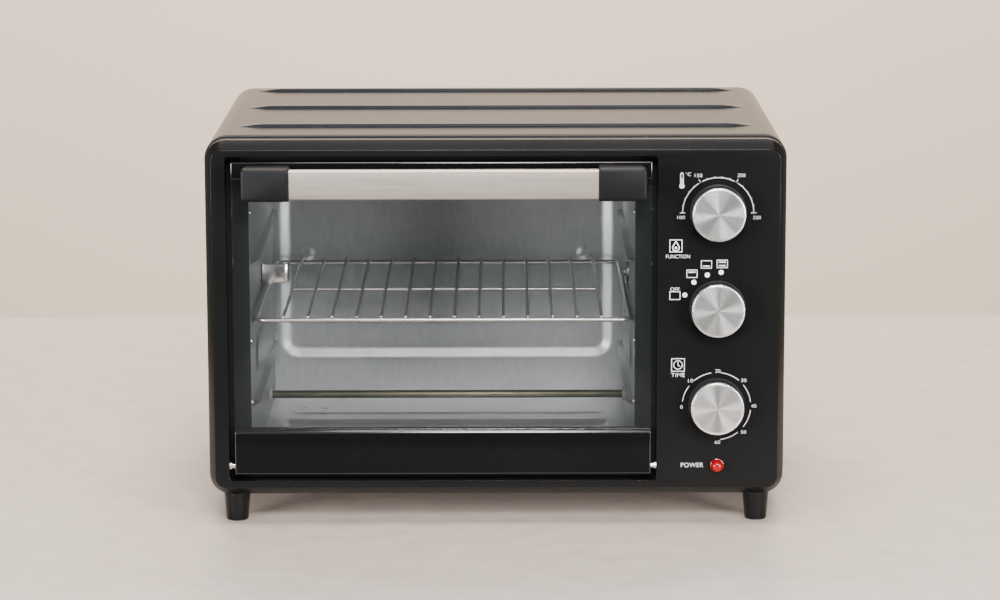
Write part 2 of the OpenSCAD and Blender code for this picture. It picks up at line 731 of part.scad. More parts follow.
module wire_rack() color("silver") from_front() {
  x0 = rack_l + rack_corner;
  x1 = rack_r - rack_corner;
  y0 = rack_front + rack_corner;
  y1 = rack_back - rack_corner;
  for (y = [rack_front, rack_back]) bar_x(x0, x1, y, rack_z, rack_frame_r);
  for (x = [rack_l, rack_r]) bar_y(x, rack_z, y0, y1, rack_frame_r);
  rack_bend(x0, y0, 180);
  rack_bend(x1, y0, 270);
  rack_bend(x1, y1, 0);
  rack_bend(x0, y1, 90);
  // Cross wires lie on the frame and the middle wire, sunk a little by the welds
  top = rack_z + rack_frame_r + rack_wire_r - rack_sink;
  first = cav_mid - (rack_wires - 1) / 2 * rack_pitch;
  last = first + (rack_wires - 1) * rack_pitch;
  for (i = [0:rack_wires - 1])
    bar_y(first + i * rack_pitch, top, rack_front - 0.6, rack_back + 0.6, rack_wire_r);
  bar_x(first - 1, last + 1, (rack_front + rack_back) / 2, rack_z + rack_frame_r - rack_wire_r,
        rack_wire_r);
}

/* ---- Controls ---- */

control_d = 26;
module control_box(z, w, h, d) {
  difference() {
    block([knob_x - w / 2, plate_back, z - h / 2], [knob_x + w / 2, plate_back + d, z + h / 2]);
    bar_y(knob_x, z, plate_back - 1, shaft_end + 0.5, shaft_r + shaft_clear);
    for (s = [-1, 1])
      bar_y(knob_x + s * control_screw_x, z, plate_back - 1, plate_back + 7, control_screw_r);
  }
}

module thermostat() color("ivory") from_front() {
  control_box(knob_zs[0], 38, 32, control_d);
  block([knob_x - 12, plate_back + control_d, knob_zs[0] - 3],
        [knob_x + 12, plate_back + control_d + 8, knob_zs[0] - 2]);
}
module function_switch() color([0.35, 0.3, 0.25]) from_front() {
  control_box(knob_zs[1], 44, 44, control_d + 4);
  for (i = [-1.5:1:1.5])
    block([knob_x + i * 9 - 3, plate_back + control_d + 4, knob_zs[1] + 8],
          [knob_x + i * 9 + 3, plate_back + control_d + 12, knob_zs[1] + 8.8]);
}
module timer() color("silver") from_front()
  control_box(knob_zs[2], 52, 50, control_d + 14);
module timer_bell() color("gold") from_front()
  translate([knob_x, plate_back + control_d + 14, knob_zs[2]]) rotate([-90, 0, 0]) rotate_extrude()
    polygon([[0, 0], [2.5, 0], [2.5, 5], [17, 5], [17, -1 + 4], [18, 3], [18, 6], [14, 9], [0, 9]]);

module control_screws() color("gray") from_front()
  for (z = knob_zs, s = [-1, 1]) {
    bar_y(knob_x + s * control_screw_x, z, plate_front - 1.8, plate_front, 2.8);
    bar_y(knob_x + s * control_screw_x, z, plate_front, plate_back + 6.5, control_screw_r);
  }

module control_shaft(z) bar_y(knob_x, z, shaft_tip, shaft_end, shaft_r);
module thermostat_shaft() color("gainsboro") from_front() control_shaft(knob_zs[0]);
module function_shaft() color("gainsboro") from_front() control_shaft(knob_zs[1]);
module timer_shaft() color("gainsboro") from_front() control_shaft(knob_zs[2]);

// A knob is a plastic cup with a base flange and a hub; its outline is turned about the shaft
module knob(z) {
  inner = knob_r - cap_t - 0.05;
  front = knob_h - cap_t - 0.05;
  step = knob_h - cap_skirt;
  translate([knob_x, 0, z]) rotate([90, 0, 0]) rotate_extrude()
    polygon([[shaft_r + 0.03, knob_gap + 1], [knob_hub_r, knob_gap + 1], [knob_hub_r, front - 3],
             [inner - 2.2, front - 3], [knob_r - 2.2, knob_gap], [knob_r + 1.1, knob_gap],
             [knob_r + 1.1, knob_gap + 1.4], [knob_r - 0.1, knob_gap + 1.4], [knob_r - 0.4, step],
             [inner, step], [inner, front - 1.2], [inner - 1.2, front], [0, front],
             [0, -shaft_tip + 0.3], [shaft_r + 0.03, -shaft_tip + 0.3]]);
}
module thermostat_knob() color([0.1, 0.1, 0.1]) from_front() knob(knob_zs[0]);
module function_knob() color([0.1, 0.1, 0.1]) from_front() knob(knob_zs[1]);
module timer_knob() color([0.1, 0.1, 0.1]) from_front() knob(knob_zs[2]);

// The bright cap pressed over the front of a knob
module knob_cap(z) {
  inner = knob_r - cap_t;
  step = knob_h - cap_skirt;
  translate([knob_x, 0, z]) rotate([90, 0, 0]) rotate_extrude()
    polygon([[0, knob_h - cap_t], [inner - 1.2, knob_h - cap_t], [inner, knob_h - cap_t - 1.2],
             [inner, step], [knob_r, step], [knob_r, knob_h - 1.2], [knob_r - 1.5, knob_h],
             [0, knob_h]]);
}
module thermostat_knob_cap() color([0.8, 0.8, 0.8]) from_front() knob_cap(knob_zs[0]);
module function_knob_cap() color([0.8, 0.8, 0.8]) from_front() knob_cap(knob_zs[1]);
module timer_knob_cap() color([0.8, 0.8, 0.8]) from_front() knob_cap(knob_zs[2]);

module pilot_lens() color("red") from_front()
  translate([lens_x, 0, lens_z]) rotate([90, 0, 0]) rotate_extrude()
    polygon([[lamp_r + 0.1, -12], [lens_r - 0.9, -12], [lens_r - 0.9, 0], [lens_r, 0],
             [lens_r - 0.2, 3.5], [lens_r - 1, 5.4], [lens_r - 2.6, 6.7], [0, 7.2],
             [0, 1.5], [lamp_r + 0.1, 1]]);

module pilot_lamp() color("orange") from_front() {
  bar_y(lens_x, lens_z, -0.9, 16, lamp_r);
  for (s = [-1, 1]) bar_y(lens_x + s, lens_z, 16, 24, 0.4);
}

/* ---- Mains inlet and wiring ---- */

// The cord gland: a bush that snaps through the back panel
module cord_gland() color([0.08, 0.08, 0.08]) from_front()
  difference() {
    union() {
      bar_y(gland_x, gland_z, back_y - 8, back_y, gland_body_r);
      translate([gland_x, back_y, gland_z]) rotate([-90, 0, 0])
        cylinder(h = gland_out - 6, r1 = gland_flange_r, r2 = gland_flange_r - 1.5);
    }
    bar_y(gland_x, gland_z, back_y - 9, back_y + gland_out, gland_bore_r);
  }

terminal_y = back_y - 90;
module terminal_block() color("ivory") from_front()
  difference() {
    block([right_x - 62, terminal_y, base_z + sheet_t],
          [right_x - 26, terminal_y + 18, base_z + sheet_t + 16]);
    for (i = [-1, 0, 1])
      translate([right_x - 44 + i * 11, terminal_y + 9, base_z + sheet_t + 8])
        cylinder(h = 10, r = 2.5);
  }

// Leads from the terminal block to the switches
module lead(points, r)
  for (i = [0:len(points) - 2]) hull() {
    translate(points[i]) sphere(r, $fn = 8);
    translate(points[i + 1]) sphere(r, $fn = 8);
  }
module internal_wires() color("firebrick") from_front() {
  floor_z = base_z + sheet_t + 3;
  back = terminal_y - 1.4;
  lead([[right_x - 55, back, floor_z + 5], [right_x - 55, 110, floor_z + 10],
        [right_x - 70, 80, knob_zs[2] + 20], [right_x - 70, plate_back + control_d + 22, knob_zs[0] - 6],
        [knob_x - 8, plate_back + control_d + 11, knob_zs[0] - 2.5]], 1.3);
  lead([[right_x - 44, back, floor_z + 5], [right_x - 44, 120, floor_z + 12],
        [right_x - 36, 95, knob_zs[2] + 8], [right_x - 36, 80, knob_zs[1] - 30],
        [knob_x + 4.5, plate_back + control_d + 14.5, knob_zs[1] + 8.4]], 1.3);
  lead([[right_x - 33, back, floor_z + 5], [right_x - 33, 130, floor_z + 12],
        [right_x - 28, 90, knob_zs[2] - 20],
        [knob_x + 24, plate_back + control_d + 16, knob_zs[2] - 12]], 1.3);
}

/* ---- What is drawn ---- */

housing_wrap();
front_frame();
front_plate();
base_pan();
back_panel();
cavity_left_wall();
cavity_right_wall();
cavity_roof();
cavity_floor();
cavity_back_wall();
heat_partition();
heater_lower_front();
heater_lower_rear();
heater_upper_front();
heater_upper_rear();
heater_insulators();
spit_bracket();
spit_hole_plug();
cavity_screws();
back_panel_screws();
base_screws();
foot_front_left();
foot_front_right();
foot_rear_left();
foot_rear_right();
foot_screws();
hinge_pin_left();
hinge_pin_right();
hinge_springs();
door_glass();
door_bottom_rail();
door_top_rail();
handle_bar();
handle_cap_left();
handle_cap_right();
handle_screws();
wire_rack();
thermostat();
function_switch();
timer();
timer_bell();
control_screws();
thermostat_shaft();
function_shaft();
timer_shaft();
thermostat_knob();
function_knob();
timer_knob();
thermostat_knob_cap();
function_knob_cap();
timer_knob_cap();
pilot_lens();
pilot_lamp();
cord_gland();
terminal_block();
internal_wires();
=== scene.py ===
"""The looks of a countertop toaster oven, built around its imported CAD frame.

Sizes are in millimetres from three planes: x from the oven's middle, z from the table,
and y from the face of the front frame, so pieces read the same way as the part's source.
"""

import math

import bmesh
import bpy
from mathutils import Matrix, Vector


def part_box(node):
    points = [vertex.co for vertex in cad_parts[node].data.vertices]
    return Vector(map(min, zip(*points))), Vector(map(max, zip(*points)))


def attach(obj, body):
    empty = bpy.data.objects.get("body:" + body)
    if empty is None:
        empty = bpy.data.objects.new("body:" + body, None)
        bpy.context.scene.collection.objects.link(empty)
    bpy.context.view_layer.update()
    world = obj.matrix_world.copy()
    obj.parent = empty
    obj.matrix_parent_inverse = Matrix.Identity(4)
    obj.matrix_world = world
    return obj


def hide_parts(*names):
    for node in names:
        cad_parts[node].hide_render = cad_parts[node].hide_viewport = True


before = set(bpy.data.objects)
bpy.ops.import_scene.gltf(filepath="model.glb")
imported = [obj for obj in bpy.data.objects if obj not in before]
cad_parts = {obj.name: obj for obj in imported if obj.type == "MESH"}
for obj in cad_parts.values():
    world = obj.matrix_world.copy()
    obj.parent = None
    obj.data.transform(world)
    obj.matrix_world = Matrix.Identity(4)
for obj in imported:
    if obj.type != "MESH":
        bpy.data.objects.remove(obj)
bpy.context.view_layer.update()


# ---- Camera ----
# A long lens a few steps back, a little above the oven's top, level with its middle.

MM = 0.001
face_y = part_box("front_frame")[0].y
camera_data = bpy.data.cameras.new("camera")
camera_data.lens = 124.2
camera_data.sensor_width = 36
camera_data.clip_start = 0.05
camera = bpy.data.objects.new("camera", camera_data)
camera.matrix_world = (
    Matrix.Translation((0.00485, face_y - 2.5732, 0.6521))
    @ Matrix.Rotation(math.radians(0.038), 4, "Z")
    @ Matrix.Rotation(math.radians(79.528), 4, "X")
    @ Matrix.Rotation(math.radians(-0.13), 4, "Z")
)
bpy.context.scene.collection.objects.link(camera)
bpy.context.scene.camera = camera


# ---- Room ----
# A pale stone worktop ends behind the oven, and a warm white wall stands far beyond it, with
# room to look at the oven's back. Both are matt and give the enamel something pale to mirror.


def new_piece(name, points, faces):
    """A linked object with this mesh, its doubles merged."""
    mesh = bpy.data.meshes.new(name)
    mesh.from_pydata([tuple(p) for p in points], [], faces)
    work = bmesh.new()
    work.from_mesh(mesh)
    bmesh.ops.remove_doubles(work, verts=work.verts, dist=0.0005 * MM)
    bmesh.ops.dissolve_degenerate(work, edges=work.edges, dist=0.0001 * MM)
    work.to_mesh(mesh)
    work.free()
    piece = bpy.data.objects.new(name, mesh)
    bpy.context.scene.collection.objects.link(piece)
    return piece


def finish(name, colour, roughness, metallic=0.0, grain=600, stretch=(1, 1, 1), shade=0.12,
           spread=0.06, bump=0.03, blotch=9, coat=0.0, specular=0.5):
    """A finish whose fine grain and broad blotches, in Object coordinates, vary its colour,
    roughness and height. stretch slows the grain along an axis, as brushing does."""
    material = bpy.data.materials.new(name)
    material.use_nodes = True
    nodes = material.node_tree.nodes
    links = material.node_tree.links
    shader = nodes["Principled BSDF"]
    shader.inputs["Metallic"].default_value = metallic
    shader.inputs["Specular IOR Level"].default_value = specular
    shader.inputs["Coat Weight"].default_value = coat
    shader.inputs["Coat Roughness"].default_value = 0.05
    place = nodes.new("ShaderNodeTexCoord")
    mapping = nodes.new("ShaderNodeMapping")
    mapping.name = "grain place"
    mapping.inputs["Scale"].default_value = stretch
    fine = nodes.new("ShaderNodeTexNoise")
    fine.name = "fine"
    fine.inputs["Scale"].default_value = grain
    fine.inputs["Detail"].default_value = 4
    broad = nodes.new("ShaderNodeTexNoise")
    broad.name = "broad"
    broad.inputs["Scale"].default_value = blotch
    broad.inputs["Detail"].default_value = 5
    both = nodes.new("ShaderNodeMix")
    both.name = "both"
    both.inputs["Factor"].default_value = 0.5
    ramp = nodes.new("ShaderNodeValToRGB")
    ramp.name = "colours"
    ramp.color_ramp.elements[0].position = 0.3
    ramp.color_ramp.elements[0].color = [c * (1 - shade) for c in colour] + [1]
    ramp.color_ramp.elements[1].position = 0.7
    ramp.color_ramp.elements[1].color = [min(1, c * (1 + shade)) for c in colour] + [1]
    gloss = nodes.new("ShaderNodeMapRange")
    gloss.inputs["To Min"].default_value = max(0.02, roughness - spread)
    gloss.inputs["To Max"].default_value = min(1, roughness + spread)
    height = nodes.new("ShaderNodeBump")
    height.name = "height"
    height.inputs["Strength"].default_value = bump
    height.inputs["Distance"].default_value = 0.0003
    links.new(place.outputs["Object"], mapping.inputs["Vector"])
    links.new(mapping.outputs["Vector"], fine.inputs["Vector"])
    links.new(place.outputs["Object"], broad.inputs["Vector"])
    links.new(fine.outputs["Fac"], both.inputs[2])
    links.new(broad.outputs["Fac"], both.inputs[3])
    links.new(both.outputs[0], ramp.inputs["Fac"])
    links.new(ramp.outputs["Color"], shader.inputs["Base Color"])
    links.new(both.outputs[0], gloss.inputs["Value"])
    links.new(gloss.outputs["Result"], shader.inputs["Roughness"])
    links.new(fine.outputs["Fac"], height.inputs["Height"])
    links.new(height.outputs["Normal"], shader.inputs["Normal"])
    return material


worktop_x = 0.64
worktop_y0 = -0.42
worktop_y1 = 0.72
worktop = new_piece(
    "worktop",
    [(-worktop_x, worktop_y0, 0), (worktop_x, worktop_y0, 0), (worktop_x, worktop_y1, 0),
     (-worktop_x, worktop_y1, 0)],
    [(0, 1, 2, 3)],
)
worktop.data.materials.append(
    finish("honed_stone", (0.42, 0.355, 0.315), 0.5, grain=330, shade=0.16, blotch=40, bump=0.05)
)
wall_x = 7
wall_y = 3.6
wall_z0 = -3
wall_z1 = 5
wall = new_piece(
    "wall",
    [(-wall_x, wall_y, wall_z0), (wall_x, wall_y, wall_z0), (wall_x, wall_y, wall_z1),
     (-wall_x, wall_y, wall_z1)],
    [(0, 1, 2, 3)],
)
wall.data.materials.append(
    finish("warm_plaster", (0.93, 0.73, 0.56), 0.7, grain=120, shade=0.02, blotch=2, bump=0.02)
)


def softbox(name, place, aim, size, watts, colour=(1, 1, 1)):
    """A square area light at place, turned to face aim."""
    light = bpy.data.lights.new(name, "AREA")
    light.size = size
    light.energy = watts
    light.color = colour
    lamp = bpy.data.objects.new(name, light)
    turn = (Vector(aim) - Vector(place)).to_track_quat("-Z", "Y")
    lamp.matrix_world = Matrix.Translation(place) @ turn.to_matrix().to_4x4()
    bpy.context.scene.collection.objects.link(lamp)


softbox("overhead", (0, -0.55, 2.1), (0, 0.2, 0.1), 1.0, 58, (1, 0.97, 0.94))
softbox("wall_light", (0, 1.5, 2.7), (0, 3.6, 0.2), 2, 250, (1, 0.98, 0.95))
softbox("high_front_light", (0.12, -1.9, 1.25), (-0.04, 0.15, 0.02), 0.5, 62, (1, 0.98, 0.97))
softbox("spark_light", (0.75, -1.5, 0.95), (0.17, 0, 0.2), 0.12, 7)
softbox("left_light", (-1.3, -1.5, 0.35), (0, 0, 0.15), 0.7, 58)
softbox("right_light", (1.3, -1.5, 0.35), (0, 0, 0.15), 0.7, 58)
world = bpy.data.worlds.new("room_air")
world.use_nodes = True
world.node_tree.nodes["Background"].inputs["Color"].default_value = (0.95, 0.93, 0.90, 1)
world.node_tree.nodes["Background"].inputs["Strength"].default_value = 0.12
bpy.context.scene.world = world


# ---- Housing ----
# One long sheet of 0.6 mm steel, bent into a C around the oven and turned under at the feet,
# with three ribs pressed up along its top and its front edge rolled over the front frame.
# It is coated with glossy black baked enamel. Slots in its right side cool the controls.


def at(x, y, z):
    """A point, from millimetres: y is measured back from the face of the front frame."""
    return Vector((x * MM, face_y + y * MM, z * MM))


def edges(node):
    """A CAD node's box in millimetres, as x0, y0, z0, x1, y1, z1."""
    low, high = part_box(node)
    return [low.x / MM, (low.y - face_y) / MM, low.z / MM,
            high.x / MM, (high.y - face_y) / MM, high.z / MM]


def smooth_step(a, b, v):
    """0 up to a and 1 from b on, with a smooth rise between."""
    t = min(1, max(0, (v - a) / (b - a)))
    return t * t * (3 - 2 * t)


def spaced(low, high, step):
    """Even stations from low to high, at most step apart."""
    count = max(1, math.ceil((high - low) / step))
    return [low + (high - low) * i / count for i in range(count + 1)]


def arc(cx, cz, r, start, end, steps=8):
    """Points of an arc, in degrees."""
    turns = [math.radians(start + (end - start) * i / steps) for i in range(steps + 1)]
    return [(cx + r * math.cos(t), cz + r * math.sin(t)) for t in turns]


def loft(name, rows, ring=True, shut=False):
    """A skin through rows of points. ring closes each row, shut joins the last to the first."""
    count = len(rows[0])
    faces = []
    last = len(rows) if shut else len(rows) - 1
    for i in range(last):
        j = (i + 1) % len(rows)
        for k in range(count if ring else count - 1):
            n = (k + 1) % count
            faces.append((i * count + k, i * count + n, j * count + n, j * count + k))
    return new_piece(name, [p for row in rows for p in row], faces)


def face_towards(piece, direction):
    """Turns an open sheet's faces over if they look the other way on the whole."""
    way = Vector(direction)
    if sum(p.normal.dot(way) * p.area for p in piece.data.polygons) < 0:
        piece.data.flip_normals()


def face_out(piece):
    """Makes a closed piece's faces point outwards."""
    work = bmesh.new()
    work.from_mesh(piece.data)
    bmesh.ops.recalc_face_normals(work, faces=work.faces)
    work.to_mesh(piece.data)
    work.free()


def settle(piece, sharp=35):
    """Turns the piece's modifiers into plain mesh, and shades it smooth up to an angle."""
    graph = bpy.context.evaluated_depsgraph_get()
    mesh = bpy.data.meshes.new_from_object(piece.evaluated_get(graph))
    piece.modifiers.clear()
    piece.data = mesh
    mesh.name = piece.name
    mesh.polygons.foreach_set("use_smooth", [True] * len(mesh.polygons))
    mesh.set_sharp_from_angle(angle=math.radians(sharp))


def thicken(piece, thickness, offset=-1):
    wall_maker = piece.modifiers.new("wall", "SOLIDIFY")
    wall_maker.thickness = thickness * MM
    wall_maker.offset = offset
    settle(piece)


def soften(piece, width, segments=2, angle=30, arris=False):
    """Rounds every edge sharper than the angle. The rounding can take a finish of its own."""
    if arris:
        piece.data.materials.append(None)
        piece.data.materials.append(None)
    rounder = piece.modifiers.new("rounding", "BEVEL")
    rounder.width = width * MM
    rounder.segments = segments
    rounder.limit_method = "ANGLE"
    rounder.angle_limit = math.radians(angle)
    rounder.miter_outer = "MITER_ARC"
    rounder.material = 1 if arris else -1
    settle(piece)


def cut(piece, cutter):
    """Takes the cutter's volume out of the piece, and removes the cutter."""
    knife = piece.modifiers.new("cut", "BOOLEAN")
    knife.operation = "DIFFERENCE"
    knife.solver = "EXACT"
    knife.object = cutter
    settle(piece)
    bpy.data.objects.remove(cutter)


def fit(piece, material, body, slot, *nodes, arris=None):
    """Gives a finished piece its material, the body it rides on and the CAD nodes it stands for."""
    if arris:
        piece.data.materials[0] = material
        piece.data.materials[1] = arris
    else:
        piece.data.materials.clear()
        piece.data.materials.append(material)
    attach(piece, body)
    if nodes:
        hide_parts(*nodes)


wrap_x0, wrap_y0, wrap_z0, wrap_x1, wrap_y1, rib_top = edges("housing_wrap")
sheet = 0.6
rib_h = 2
rib_half = 8
wrap_top = rib_top - rib_h
wrap_r = 17
lip = 14
rib_places = [wrap_y0 + share * (wrap_y1 - wrap_y0) + rib_half for share in (0.179, 0.553, 0.925)]
rib_end = wrap_x1 - 25


def rib_height(x, y):
    """How far a rib lifts the sheet: a steep front, a flat crown and a long slope behind."""
    run = 1 - smooth_step(rib_end - 16, rib_end + 4, abs(x))
    lift = 0
    for centre in rib_places:
        q = (y - centre) / rib_half
        lift += smooth_step(-1, -0.91, q) * (1 - smooth_step(-0.2, 1, q))
    return rib_h * run * lift


def wrap_outline(inset, y):
    """The C of the sheet at one station, from the left lip over the top to the right lip."""
    side = wrap_x1 - inset
    low = wrap_z0 + inset
    top = wrap_top - inset
    r = wrap_r - inset
    inner = wrap_x1 - wrap_r
    flat = spaced(-inner, inner, 5)[1:-1]
    path = [(-inner + lip, low)]
    path += arc(-inner, wrap_z0 + wrap_r, r, 270, 180)
    path += [(-side, z) for z in spaced(wrap_z0 + wrap_r, wrap_top - wrap_r, 60)][1:-1]
    path += arc(-inner, wrap_top - wrap_r, r, 180, 90)
    path += [(x, top + rib_height(x, y)) for x in flat]
    path += arc(inner, wrap_top - wrap_r, r, 90, 0)
    path += [(side, z) for z in reversed(spaced(wrap_z0 + wrap_r, wrap_top - wrap_r, 60))][1:-1]
    path += arc(inner, wrap_z0 + wrap_r, r, 0, -90)
    path += [(inner - lip, low)]
    return [at(x, y, z) for x, z in path]


roll = 1.2
stations = [(wrap_y0 + 2.4, roll), (wrap_y0, roll)]
stations += [(wrap_y0 + roll - roll * math.cos(t), roll - roll * math.sin(t))
             for t in [math.radians(18 * i) for i in range(1, 6)]]
stations += [(wrap_y0 + 3.2, 0), (wrap_y0 + 3.8, 0.5), (wrap_y0 + 4.4, 1.3), (wrap_y0 + 5.6, 1.3),
             (wrap_y0 + 6.0, 0.6), (wrap_y0 + 6.4, 0.1), (wrap_y0 + 7.2, 0)]
plain = [y for y in spaced(wrap_y0 + 12, wrap_y1, 24)
         if all(abs(y - centre) > rib_half * 1.6 for centre in rib_places)]
crown = [c + rib_half * q for c in rib_places
         for q in (-1.15, -1.02, -1, -0.985, -0.97, -0.955, -0.94, -0.925, -0.91, -0.88, -0.6, -0.2,
                   0, 0.2, 0.4, 0.6, 0.8, 1, 1.15)]
stations += [(y, 0) for y in sorted(plain + [y for y in crown if y < wrap_y1 - 0.5] + [wrap_y1])]
housing = loft("housing", [wrap_outline(inset, y) for y, inset in stations], ring=False)
face_towards(housing, (0, 0, 1))
thicken(housing, sheet)

slot_half = 7
slot_r = 1.5
slot_block = []
for row in range(6):
    for column in range(5):
        y = 60 + column * 26
        z = wrap_z0 + 71.2 + row * 12
        outline = arc(y + slot_half, z, slot_r, -90, 90, 6) + arc(y - slot_half, z, slot_r, 90, 270, 6)
        slot_block.append(outline)
cooling_slots = new_piece(
    "cooling_slots",
    [at(x, y, z) for outline in slot_block for x in (wrap_x1 - 3, wrap_x1 + 1) for y, z in outline],
    [face for i, outline in enumerate(slot_block) for n in [len(outline)] for face in
     [tuple(range(2 * n * i, 2 * n * i + n)), tuple(range(2 * n * i + n, 2 * n * (i + 1)))]
     + [(2 * n * i + k, 2 * n * i + (k + 1) % n, 2 * n * i + n + (k + 1) % n, 2 * n * i + n + k)
        for k in range(n)]],
)
face_out(cooling_slots)
cut(housing, cooling_slots)
enamel = finish("black_enamel", (0.015, 0.0165, 0.019), 0.2, grain=90, shade=0.25, spread=0.05,
                bump=0.035, blotch=5, specular=0.015)
fit(housing, enamel, "oven", "housing_paint", "housing_wrap")


# ---- Front frame ----
# A one-piece satin black moulding screwed to the front of the housing: a flange, a broad
# sloped edge, a flat face and a deep recess for the door. Its right part is the control panel.


def round_loop(x0, z0, x1, z1, r, y, steps=7):
    """A rectangle with round corners, upright at y."""
    path = arc(x1 - r, z1 - r, r, 0, 90, steps) + arc(x0 + r, z1 - r, r, 90, 180, steps)
    path += arc(x0 + r, z0 + r, r, 180, 270, steps) + arc(x1 - r, z0 + r, r, 270, 360, steps)
    return [at(x, y, z) for x, z in path]


def close_ends(piece):
    """Fills a piece's open ends and turns its faces outwards."""
    work = bmesh.new()
    work.from_mesh(piece.data)
    bmesh.ops.holes_fill(work, edges=work.edges)
    bmesh.ops.recalc_face_normals(work, faces=work.faces)
    work.to_mesh(piece.data)
    work.free()
    return piece


def rod_y(name, x, z, r, y0, y1, steps=48):
    """A plain bar along y, to cut a hole with."""
    ends = [[at(px, y, pz) for px, pz in arc(x, z, r, 0, 360, steps)[:-1]] for y in (y0, y1)]
    return close_ends(loft(name, ends))


def middle(box, axis):
    """The middle of a box along axis 0, 1 or 2."""
    return (box[axis] + box[axis + 3]) / 2


front_x0, _, front_z0, front_x1, front_y1, front_z1 = edges("front_frame")
door_x0, door_y0, door_z0, door_x1, door_y1, door_z1 = edges("door_bottom_rail")
door_z1 = edges("door_top_rail")[5]
door_gap = 4.4
low_gap = 5.4
bevel_depth = 10
recess_depth = 18
moulding_t = 2.4
frame_loops = []
for inset_x, inset_z, y, r in [(moulding_t, moulding_t, 19.4, 13), (0.5, 0.5, front_y1, 15.3),
                               (0, 0, front_y1 - 0.5, 15.8), (0, 0, bevel_depth, 15.8),
                               (5, 6.8, 0, 8)]:
    frame_loops.append(round_loop(front_x0 + inset_x, front_z0 + inset_z, front_x1 - inset_x,
                                  front_z1 - inset_z, r, y))
for grow, y, r in [(0, 0, 3), (0, recess_depth - 0.05, 3), (moulding_t, recess_depth - 0.05, 5.4),
                   (moulding_t, moulding_t, 5.4)]:
    frame_loops.append(round_loop(door_x0 - door_gap - grow, door_z0 - low_gap - grow,
                                  door_x1 + door_gap + grow, door_z1 + door_gap + grow, r, y))
frame_loops.append(round_loop(front_x0 + 7.4, front_z0 + 9.2, front_x1 - 7.4, front_z1 - 9.2, 6,
                              moulding_t))
frame_loops.append(round_loop(front_x0 + moulding_t, front_z0 + moulding_t,
                              front_x1 - moulding_t, front_z1 - moulding_t, 13, bevel_depth + 1))
front = loft("front_frame_moulding", frame_loops, shut=True)
face_out(front)
soften(front, 1.0, 4, 14, True)
knob_boxes = [edges(name) for name in ("thermostat_knob", "function_knob", "timer_knob")]
knob_spots = [(middle(b, 0), middle(b, 2)) for b in knob_boxes]
lens_box = edges("pilot_lens")
lens_x = middle(lens_box, 0)
lens_z = middle(lens_box, 2)
for x, z in knob_spots:
    cut(front, rod_y("shaft_hole", x, z, 4.5, -2, moulding_t + 2))
cut(front, rod_y("lens_hole", lens_x, lens_z, 4.4, -2, moulding_t + 2))
satin_black = finish("satin_black_moulding", (0.0045, 0.0045, 0.0045), 0.26, grain=1400, shade=0.2,
                     spread=0.05, bump=0.04, blotch=7, specular=0.1)
black_arris = finish("burnished_black_edge", (0.006, 0.006, 0.006), 0.16, grain=900, shade=0.15,
                     spread=0.03, bump=0.02, specular=0.8)
fit(front, satin_black, "oven", "front_moulding", "front_frame", arris=black_arris)


# ---- Panel printing ----
# White pad printing on the control panel: the temperature and time scales, the four grill
# settings and plain labels. The ink stands a few hundredths of a millimetre off the face.

ink_t = 0.05


def new_tree(name, material, **sizes):
    """An empty Geometry Nodes tree with these named inputs, and its last two nodes in place."""
    group = bpy.data.node_groups.new(name, "GeometryNodeTree")
    group.interface.new_socket("Geometry", in_out="INPUT", socket_type="NodeSocketGeometry")
    for size, value in sizes.items():
        kind = "NodeSocketInt" if isinstance(value, int) else "NodeSocketFloat"
        socket = group.interface.new_socket(size, in_out="INPUT", socket_type=kind)
        socket.default_value = value
    group.interface.new_socket("Geometry", in_out="OUTPUT", socket_type="NodeSocketGeometry")
    start = group.nodes.new("NodeGroupInput")
    realize = group.nodes.new("GeometryNodeRealizeInstances")
    paint = group.nodes.new("GeometryNodeSetMaterial")
    paint.inputs["Material"].default_value = material
    end = group.nodes.new("NodeGroupOutput")
    group.links.new(realize.outputs[0], paint.inputs["Geometry"])
    group.links.new(paint.outputs[0], end.inputs["Geometry"])
    return group, start, realize


def grow(name, group, **sizes):
    """A new piece made by the tree with these sizes, as plain mesh."""
    piece = bpy.data.objects.new(name, bpy.data.meshes.new(name))
    bpy.context.scene.collection.objects.link(piece)
    maker = piece.modifiers.new("maker", "NODES")
    maker.node_group = group
    for item in group.interface.items_tree:
        if item.in_out == "INPUT" and item.name in sizes:
            maker[item.identifier] = sizes[item.name]
    settle(piece)
    return piece


def join(name, pieces):
    """One piece from several, which are removed."""
    work = bmesh.new()
    for piece in pieces:
        work.from_mesh(piece.data)
    mesh = bpy.data.meshes.new(name)
    work.to_mesh(mesh)
    work.free()
    for piece in pieces:
        bpy.data.objects.remove(piece)
    whole = bpy.data.objects.new(name, mesh)
    bpy.context.scene.collection.objects.link(whole)
    return whole


def label(words, x, z, width, height):
    """Printed words, centred at x, z and fitted to a width and a height."""
    text = bpy.data.curves.new("words", "FONT")
    text.body = words
    text.resolution_u = 3
    text.offset = -0.02
    writer = bpy.data.objects.new("words", text)
    bpy.context.scene.collection.objects.link(writer)
    graph = bpy.context.evaluated_depsgraph_get()
    mesh = bpy.data.meshes.new_from_object(writer.evaluated_get(graph))
    bpy.data.objects.remove(writer)
    xs = [v.co.x for v in mesh.vertices]
    ys = [v.co.y for v in mesh.vertices]
    wide = max(xs) - min(xs)
    tall = max(ys) - min(ys)
    for v in mesh.vertices:
        v.co = at(x + ((v.co.x - min(xs)) / wide - 0.5) * width, -ink_t,
                  z + ((v.co.y - min(ys)) / tall - 0.5) * height)
    printed = bpy.data.objects.new("words", mesh)
    bpy.context.scene.collection.objects.link(printed)
    return printed


